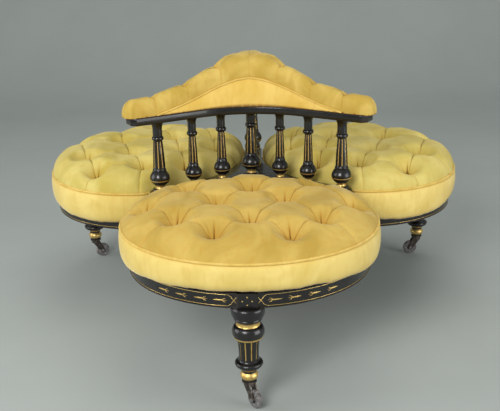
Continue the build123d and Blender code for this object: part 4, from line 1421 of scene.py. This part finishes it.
@dataclass(frozen=True)
class Turning:
    """A turned and fluted profile with its gilded bands.

    Each row of the profile is a share of the height, a share of the radius and how far the stretch
    below bows out.
    """

    profile: tuple[tuple[float, float, float], ...]
    height: float
    radius: float
    bands: tuple[tuple[float, float], ...]
    flutes: int
    groove: float
    span: tuple[float, float]
    dull_bands: tuple[tuple[float, float], ...] = ()

    def line(self) -> tuple[np.ndarray, np.ndarray]:
        """Sample the profile along its bows.

        Returns:
            Its heights and its radii.
        """
        size = np.array([self.height, self.radius])
        heights, radii = [self.profile[0][0] * self.height], [self.profile[0][1] * self.radius]
        for (z_a, r_a, _), (z_b, r_b, bow) in zip(self.profile, self.profile[1:]):
            a, b = np.array([z_a, r_a]) * size, np.array([z_b, r_b]) * size
            run = b - a
            out = np.array([-run[1], run[0]]) / np.hypot(*run)
            number = 12 if abs(bow) > 0.1 else 6 if bow else 2
            for part in np.linspace(0, 1, number + 1)[1:]:
                point = a + run * part + out * 4 * part * (1 - part) * bow * self.radius
                heights.append(max(point[0], heights[-1] + 1e-5))
                radii.append(point[1])
        return np.array(heights), np.array(radii)

    def add(self, shape: Shape, place: tuple[float, float, float]) -> None:
        """Add the turning to a shape.

        Args:
            shape: What it is added to.
            place: Where its foot stands.
        """
        heights, radii = self.line()
        low, high = (share * self.height for share in self.span)
        extra = [share * self.height for band in self.bands + self.dull_bands for share in band]
        for level in (low, high):
            extra += list(np.linspace(level - self.groove, level + self.groove, 7))
        extra += list(np.linspace(low + self.groove, high - self.groove, 8))
        levels = np.unique(np.round(np.concatenate([heights, extra]), 6))
        levels = levels[np.concatenate([[True], np.diff(levels) > 0.00012])]
        reach = np.interp(levels, heights, radii)
        half = math.pi / self.flutes
        notch = 1.02 * self.groove / float(np.interp((low + high) / 2, heights, radii))
        part = np.array([-1, -0.82, -0.6, -0.3, 0.0, 0.3, 0.6, 0.82])
        flats = np.linspace(notch, 2 * half - notch, 4)
        offsets = np.concatenate([notch * part, flats[:-1]])
        turns = np.concatenate([2 * half * i + offsets for i in range(self.flutes)])
        near = np.tile(np.where(offsets > notch - 1e-9, 9.0, offsets), self.flutes)
        across = reach[:, None] * np.sin(np.clip(near, -1.5, 1.5))[None]
        beyond = np.maximum(np.maximum(low - levels, levels - high), 0)[:, None]
        depth = np.sqrt(np.maximum(self.groove ** 2 - across ** 2 - beyond ** 2, 0))
        radius = reach[:, None] - depth * (np.abs(near) < 2)[None]
        height = np.broadcast_to(levels[:, None], radius.shape)
        points = np.stack([radius * np.cos(turns), radius * np.sin(turns), height], -1)
        middle = (levels[1:] + levels[:-1]) / 2
        face_turn = np.tile((offsets + np.roll(offsets, -1)) / 2, self.flutes)
        face_turn = np.where(np.tile(np.roll(offsets, -1) < offsets, self.flutes), 9.0, face_turn)
        gilt = (np.abs(face_turn) < 0.5 * notch)[None] & ((middle > low) & (middle < high))[:, None]
        finish = gilt.astype(int)
        for number, bands in ((1, self.bands), (2, self.dull_bands)):
            for share_low, share_high in bands:
                within = (middle > share_low * self.height) & (middle < share_high * self.height)
                finish[within] = number
        index = shape.add_grid(points + np.array(place), wrap=True, finish=finish)
        shape.add_cap(index[0][::-1])
        shape.add_cap(index[-1])


POST_PROFILE = (
    (0.0, 0.73, 0.0), (0.040, 0.73, 0.06), (0.048, 0.50, 0.0), (0.085, 0.42, -0.05), (0.305, 0.62, 0.48),
    (0.322, 0.68, 0.03), (0.335, 0.61, 0.0), (0.735, 0.44, 0.02), (0.742, 0.52, 0.0), (0.790, 0.52, 0.06),
    (0.797, 0.47, 0.0), (0.880, 0.47, 0.0), (1.0, 0.73, -0.09))
SPINDLE_PROFILE = (
    (0.0, 0.73, 0.0), (0.040, 0.73, 0.06), (0.048, 0.50, 0.0), (0.085, 0.42, -0.05), (0.290, 0.58, 0.52),
    (0.305, 0.64, 0.03), (0.320, 0.57, 0.0), (0.735, 0.41, 0.02), (0.742, 0.58, 0.0), (0.790, 0.58, 0.06),
    (0.797, 0.50, 0.0), (0.880, 0.50, 0.0), (1.0, 0.74, -0.09))
LEG_PROFILE = (
    (0.0, 0.40, 0.0), (0.022, 0.40, 0.0), (0.120, 0.42, 0.13), (0.148, 0.45, -0.02), (0.200, 0.76, -0.06),
    (0.275, 0.66, 0.14), (0.290, 0.60, 0.0), (0.573, 0.68, -0.03), (0.585, 0.84, 0.0), (0.612, 0.91, 0.02),
    (0.740, 0.84, 0.09), (0.752, 0.72, 0.0), (0.808, 0.72, -0.04), (0.820, 0.82, 0.0), (0.856, 0.82, 0.04),
    (0.868, 0.94, 0.0), (0.985, 1.0, 0.04), (1.0, 0.94, 0.0))
TURNED_FINISHES = ("ebonised_wood", "gilding", "bronze_paint")


@dataclass
class Balustrade:
    """The ten balusters between the platform and the top rail."""

    foot: float = 0.3802
    height: float = 0.1986
    end_place: float = 0.2905
    outer_place: float = 0.187
    inner_place: float = 0.0965

    def build(self, finishes: Wardrobe) -> None:
        """Build every baluster.

        Args:
            finishes: The sofa's finishes.
        """
        bands = ((0.048, 0.085), (0.166, 0.180))
        post = Turning(POST_PROFILE, self.height, 0.028, bands, 8, 0.0022, (0.352, 0.725))
        spindle = Turning(SPINDLE_PROFILE, self.height, 0.0235, bands, 8, 0.0022, (0.352, 0.725))
        places = [("centre_post", post, 0.0, 0.0)]
        for arm, degrees in ARMS.items():
            places.append((arm + "_end_post", post, self.end_place, degrees))
            places.append((arm + "_outer_spindle", spindle, self.outer_place, degrees))
            places.append((arm + "_inner_spindle", spindle, self.inner_place, degrees))
        for node, turning, away, degrees in places:
            shape = Shape()
            turn = math.radians(degrees)
            turning.add(shape, (away * math.cos(turn), away * math.sin(turn), self.foot))
            made = shape.piece(node + "_turned", finishes.get(*TURNED_FINISHES), sharp=38)
            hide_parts(node)


@dataclass
class Apron:
    """One seat's frame: its gilt lines and ornament, and the turned leg with its square block."""

    seat: str
    foot: float = 0.066
    leg_height: float = 0.1938
    leg_radius: float = 0.0395
    block: float = 0.046
    block_edge: float = 0.0015
    leaf: float = 0.00035
    line_half_width: float = 0.00062
    panel_start: float = 8.3
    panel_corner: float = 6.6
    cross_reach: float = 0.0078
    bud_places: tuple[float, ...] = (12.9, 21.6, 31.2, 41.0)

    def __post_init__(self) -> None:
        """Hold the frame's made face, which the leaf is laid on."""
        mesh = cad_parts[self.seat + "_frame"].data
        places = [tuple(point.co) for point in mesh.vertices]
        self.made_face = BVHTree.FromPolygons(places, [tuple(one.vertices) for one in mesh.polygons])

    def on_rim(self, along: np.ndarray, height: np.ndarray) -> tuple[np.ndarray, np.ndarray]:
        """Give points on the frame's outer face.

        Args:
            along: Directions round the seat in degrees, 0 at the leg.
            height: Heights above the floor.

        Returns:
            The points in the sofa's frame and the outward direction at each.
        """
        turn = np.radians(along)
        depth, width = PLAN.frame_half_depth - PLAN.bead_depth, PLAN.frame_half_width - PLAN.bead_depth
        level = np.broadcast_to(height, turn.shape)
        points = PLAN.from_seat(self.seat, np.stack([depth * np.cos(turn), width * np.sin(turn), level], -1))
        out = np.stack([np.cos(turn) / depth, np.sin(turn) / width, turn * 0], -1)
        out = turned(out / np.linalg.norm(out, axis=1, keepdims=True), SEATS[self.seat])
        for number, (point, away) in enumerate(zip(points, out)):
            hit = self.made_face.ray_cast(Vector(point + 0.02 * away), Vector(-away), 0.04)[0]
            if hit is not None:
                points[number] = hit
        return points, out

    def stroke(
            self, shape: Shape, along: Sequence[float], height: Sequence[float], width: Sequence[float],
            steps: int = 10) -> None:
        """Add one brushed stroke of leaf on the frame's face.

        Args:
            shape: What it is added to.
            along: Directions of its points in degrees.
            height: Heights of its points.
            width: Half widths at its points.
            steps: How finely it is sampled.
        """
        stops = np.linspace(0, 1, len(along))
        share = np.linspace(0, 1, steps)
        path, out = self.on_rim(np.interp(share, stops, along), np.interp(share, stops, height))
        self.leaf_tube(shape, path, np.interp(share, stops, width), out)

    def leaf_tube(self, shape: Shape, path: np.ndarray, half: np.ndarray, out: np.ndarray) -> None:
        """Add a thin raised ribbon of leaf along a path.

        Args:
            shape: What it is added to.
            path: The points of its middle line.
            half: Its half width at each point.
            out: The outward direction at each point.
        """
        ahead = np.gradient(path, axis=0)
        ahead /= np.linalg.norm(ahead, axis=1, keepdims=True)
        side = np.cross(ahead, out)
        rows = []
        for across, rise in ((1.0, -0.3), (0.8, 0.75), (0.0, 1.0), (-0.8, 0.75), (-1.0, -0.3)):
            rows.append(path + side * (half * across)[:, None] + out * self.leaf * rise)
        index = shape.add_grid(np.swapaxes(np.array(rows), 0, 1), wrap=True)
        shape.add_cap(index[0][::-1])
        shape.add_cap(index[-1])

    def build_gilding(self, finishes: Wardrobe) -> None:
        """Build the gilt lines, buds, crosses and dots.

        Args:
            finishes: The sofa's finishes.
        """
        shape = Shape()
        low, high = PLAN.frame_bottom + 0.0044, PLAN.frame_top - 0.0050
        middle = (low + high) / 2
        line = np.linspace(self.panel_start, 360 - self.panel_start, 300)
        for level in (low, high):
            path, out = self.on_rim(line, np.full_like(line, level))
            self.leaf_tube(shape, path, np.full(len(line), self.line_half_width), out)
        for side in (1, -1):
            corner = [self.panel_start * side, self.panel_corner * side]
            for level, lean in ((low, 1), (high, -1)):
                self.stroke(shape, corner, [level, level + lean * 0.0058], [0.0006, 0.0006], 4)
            for reach in (self.cross_reach, -self.cross_reach):
                self.stroke(
                    shape, [6.9 * side, 4.5 * side], [middle - reach, middle + reach], [0.0009, 0.0007], 5)
            for place in self.bud_places:
                near, far = (place - 2.0) * side, (place + 1.9) * side
                self.stroke(shape, [near, place * side, far], [middle] * 3, [0.0016, 0.0019, 0.0004], 12)
                tail = (place - 3.7) * side
                for lift in (0.0045, -0.0045):
                    bend = (place - 2.7) * side
                    levels = [middle, middle + lift * 0.8, middle + lift]
                    self.stroke(shape, [near, bend, tail], levels, [0.0006, 0.0007, 0.0002], 7)
                self.stroke(shape, [near, (place - 4.3) * side], [middle, middle], [0.0007, 0.0002], 5)
        face = PLAN.leg_place + self.block / 2
        block_middle = (PLAN.frame_bottom + PLAN.frame_top) / 2
        dots = [(0.0, 0.0096), (0.0, -0.0096), (0.0112, 0.0), (-0.0112, 0.0)]
        turns = np.linspace(0, 2 * math.pi, 12, endpoint=False)
        for across, lift in dots:
            rings = []
            for reach, proud in ((0.0020, -0.0001), (0.0016, 0.00032), (0.0008, 0.0004)):
                y = across + reach * np.cos(turns)
                z = block_middle + lift + reach * np.sin(turns)
                rings.append(np.stack([np.full_like(y, face + proud), y, z], -1))
            index = shape.add_grid(PLAN.from_seat(self.seat, np.array(rings)), wrap=True)
            shape.add_cap(index[0][::-1])
            shape.add_cap(index[-1])
        made = shape.piece(self.seat + "_gilding", finishes.get("gilding"))

    def build_leg(self, finishes: Wardrobe) -> None:
        """Build the turned leg and its block.

        Args:
            finishes: The sofa's finishes.
        """
        shape = Shape()
        place = PLAN.from_seat(self.seat, np.array([PLAN.leg_place, 0.0, self.foot]))
        gilt = ((0.022, 0.118), (0.586, 0.611), (0.753, 0.807))
        bronzed = ((0.150, 0.200),)
        turning = Turning(
            LEG_PROFILE, self.leg_height, self.leg_radius, gilt, 10, 0.0024, (0.310, 0.560), bronzed)
        turning.add(shape, tuple(place.tolist()))
        half, edge = self.block / 2, self.block_edge
        low, high = PLAN.frame_bottom - 0.0002, PLAN.frame_top
        rows = []
        levels = [(edge, low), (0.0, low + edge), (0.0, low + 4 * edge)]
        levels += [(0.0, high - 4 * edge), (0.0, high - edge), (edge, high)]
        for inset, level in levels:
            far = half - inset
            along = np.array([-far + edge, -far + 4 * edge, far - 4 * edge, far - edge])
            side = np.stack([np.full(4, far), along, np.full(4, level)], -1)
            ring = np.concatenate([turned(side, degrees) for degrees in (0, 90, 180, 270)])
            rows.append(ring + [PLAN.leg_place, 0.0, 0.0])
        index = shape.add_grid(PLAN.from_seat(self.seat, np.array(rows)), wrap=True)
        shape.add_cap(index[0][::-1])
        shape.add_cap(index[-1])
        made = shape.piece(self.seat + "_leg_turned", finishes.get(*TURNED_FINISHES), sharp=38)
        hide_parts(self.seat + "_leg")

    def build(self, finishes: Wardrobe) -> None:
        """Build the gilding and the leg.

        Args:
            finishes: The sofa's finishes.
        """
        self.build_gilding(finishes)
        self.build_leg(finishes)


class Metalwork:
    """The pieces that keep their made shape and only need their finish."""

    finishes_by_ending = {
        "_frame": "ebonised_wood", "_webbing": "jute_webbing", "_springs": "spring_steel",
        "_dust_cover": "dust_cloth", "_leg_brace": "planed_beech", "_caster_plate": "caster_iron",
        "_caster_fork": "caster_iron", "_caster_axle": "bolt_steel", "_caster_wheel": "caster_tread",
        "hub_block": "planed_beech", "platform_core": "ebonised_wood", "frame_bolts": "bolt_steel"}

    def build(self, finishes: Wardrobe) -> None:
        """Give every kept node its finish.

        Args:
            finishes: The sofa's finishes.
        """
        for node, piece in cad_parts.items():
            for ending, finish in self.finishes_by_ending.items():
                if node.endswith(ending):
                    piece.data.materials.clear()
                    piece.data.materials.append(finishes.made[finish])
                    LOG.info("%s keeps its shape, in %s", node, finish)


# Studio


LIGHTS = (
    ("key_light", (-1.3, -3.2, 2.2), (0.0, -0.1, 0.4), 1.6, 92.0),
    ("top_light", (0.3, 0.8, 3.4), (0.0, 0.0, 0.4), 2.4, 22.0),
    ("left_light", (-2.9, -0.6, 1.1), (0.0, -0.1, 0.35), 1.8, 26.0),
    ("fill_light", (2.9, -1.7, 0.95), (0.0, 0.0, 0.35), 2.0, 50.0))


@dataclass
class Studio:
    """The pale floor and wall, the soft lights and the camera."""

    lens: float = 61.5068
    camera_away: float = 2.41182
    camera_height: float = 1.10517
    yaw: float = -0.0029
    pitch: float = 0.3278
    roll: float = -0.0216
    turn: float = 0.0244

    def build_camera(self) -> None:
        """Place the camera at the photograph's viewing angle."""
        cy, sy, cp, sp = math.cos(self.yaw), math.sin(self.yaw), math.cos(self.pitch), math.sin(self.pitch)
        ahead = Vector((sy * cp, cy * cp, -sp))
        right = Vector((cy, -sy, 0.0))
        up = right.cross(ahead)
        cr, sr = math.cos(self.roll), math.sin(self.roll)
        across, above = right * cr + up * sr, up * cr - right * sr
        basis = Matrix((across, above, -ahead)).transposed().to_4x4()
        basis.translation = Vector((0.0, -self.camera_away, self.camera_height))
        data = bpy.data.cameras.new("camera")
        data.lens, data.sensor_width, data.sensor_fit = self.lens, 36.0, "HORIZONTAL"
        camera = bpy.data.objects.new("camera", data)
        camera.matrix_world = Matrix.Rotation(self.turn, 4, "Z") @ basis
        bpy.context.scene.collection.objects.link(camera)
        bpy.context.scene.camera = camera

    def build_lights(self) -> None:
        """Hang the soft lights and set the even surrounding light."""
        for name, place, aim, size, power in LIGHTS:
            data = bpy.data.lights.new(name, "AREA")
            data.energy, data.size = power, size
            light = bpy.data.objects.new(name, data)
            light.location = place
            light.rotation_euler = (Vector(aim) - Vector(place)).to_track_quat("-Z", "Y").to_euler()
            bpy.context.scene.collection.objects.link(light)
        world = bpy.data.worlds.new("studio_air")
        world.use_nodes = True
        world.node_tree.nodes["Background"].inputs[0].default_value = (0.90, 0.93, 0.92, 1.0)
        world.node_tree.nodes["Background"].inputs[1].default_value = 0.42
        bpy.context.scene.world = world
        bpy.context.scene.view_settings.view_transform = "Standard"

    def build_ground(self) -> None:
        """Lay the floor, which runs up into a wall far behind the sofa."""
        near, bend, curve, top = -6.0, 2.6, 1.6, 6.0
        rows = [(near, 0.0), (bend, 0.0)]
        for turn in np.linspace(0, math.pi / 2, 14)[1:]:
            rows.append((bend + curve * math.sin(turn), curve * (1 - math.cos(turn))))
        rows.append((bend + curve, top))
        points = np.array([[(x, y, z) for x in (-9.0, 9.0)] for y, z in rows])
        shape = Shape()
        shape.add_grid(points)
        mesh = bpy.data.meshes.new("studio_ground")
        mesh.from_pydata(np.concatenate(shape.points).tolist(), [], shape.faces)
        mesh.polygons.foreach_set("use_smooth", [True] * len(mesh.polygons))
        mesh.materials.append(Ground().make())
        ground = bpy.data.objects.new("studio_ground", mesh)
        bpy.context.scene.collection.objects.link(ground)

    def build(self) -> None:
        """Build the camera, the lights and the ground."""
        self.build_camera()
        self.build_lights()
        self.build_ground()


def main() -> None:
    """Build the sofa's looks in order."""
    logging.basicConfig(level=logging.INFO, format="%(name)s: %(message)s")
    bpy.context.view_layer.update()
    Studio().build()
    finishes = Wardrobe()
    Metalwork().build(finishes)
    for seat in SEATS:
        seat_cushion(seat).build(finishes)
        Apron(seat).build(finishes)
    StarBoard("platform_board", 0.027, 0.088, 0.316, 0.011, 0.364, 0.016).build(finishes)
    StarBoard("back_rail", 0.029, 0.076, 0.372, 0.013, 0.579, 0.021, 0.003).build(finishes)
    Balustrade().build(finishes)
    Crest().build(finishes)


if __name__ == "__main__":
    main()
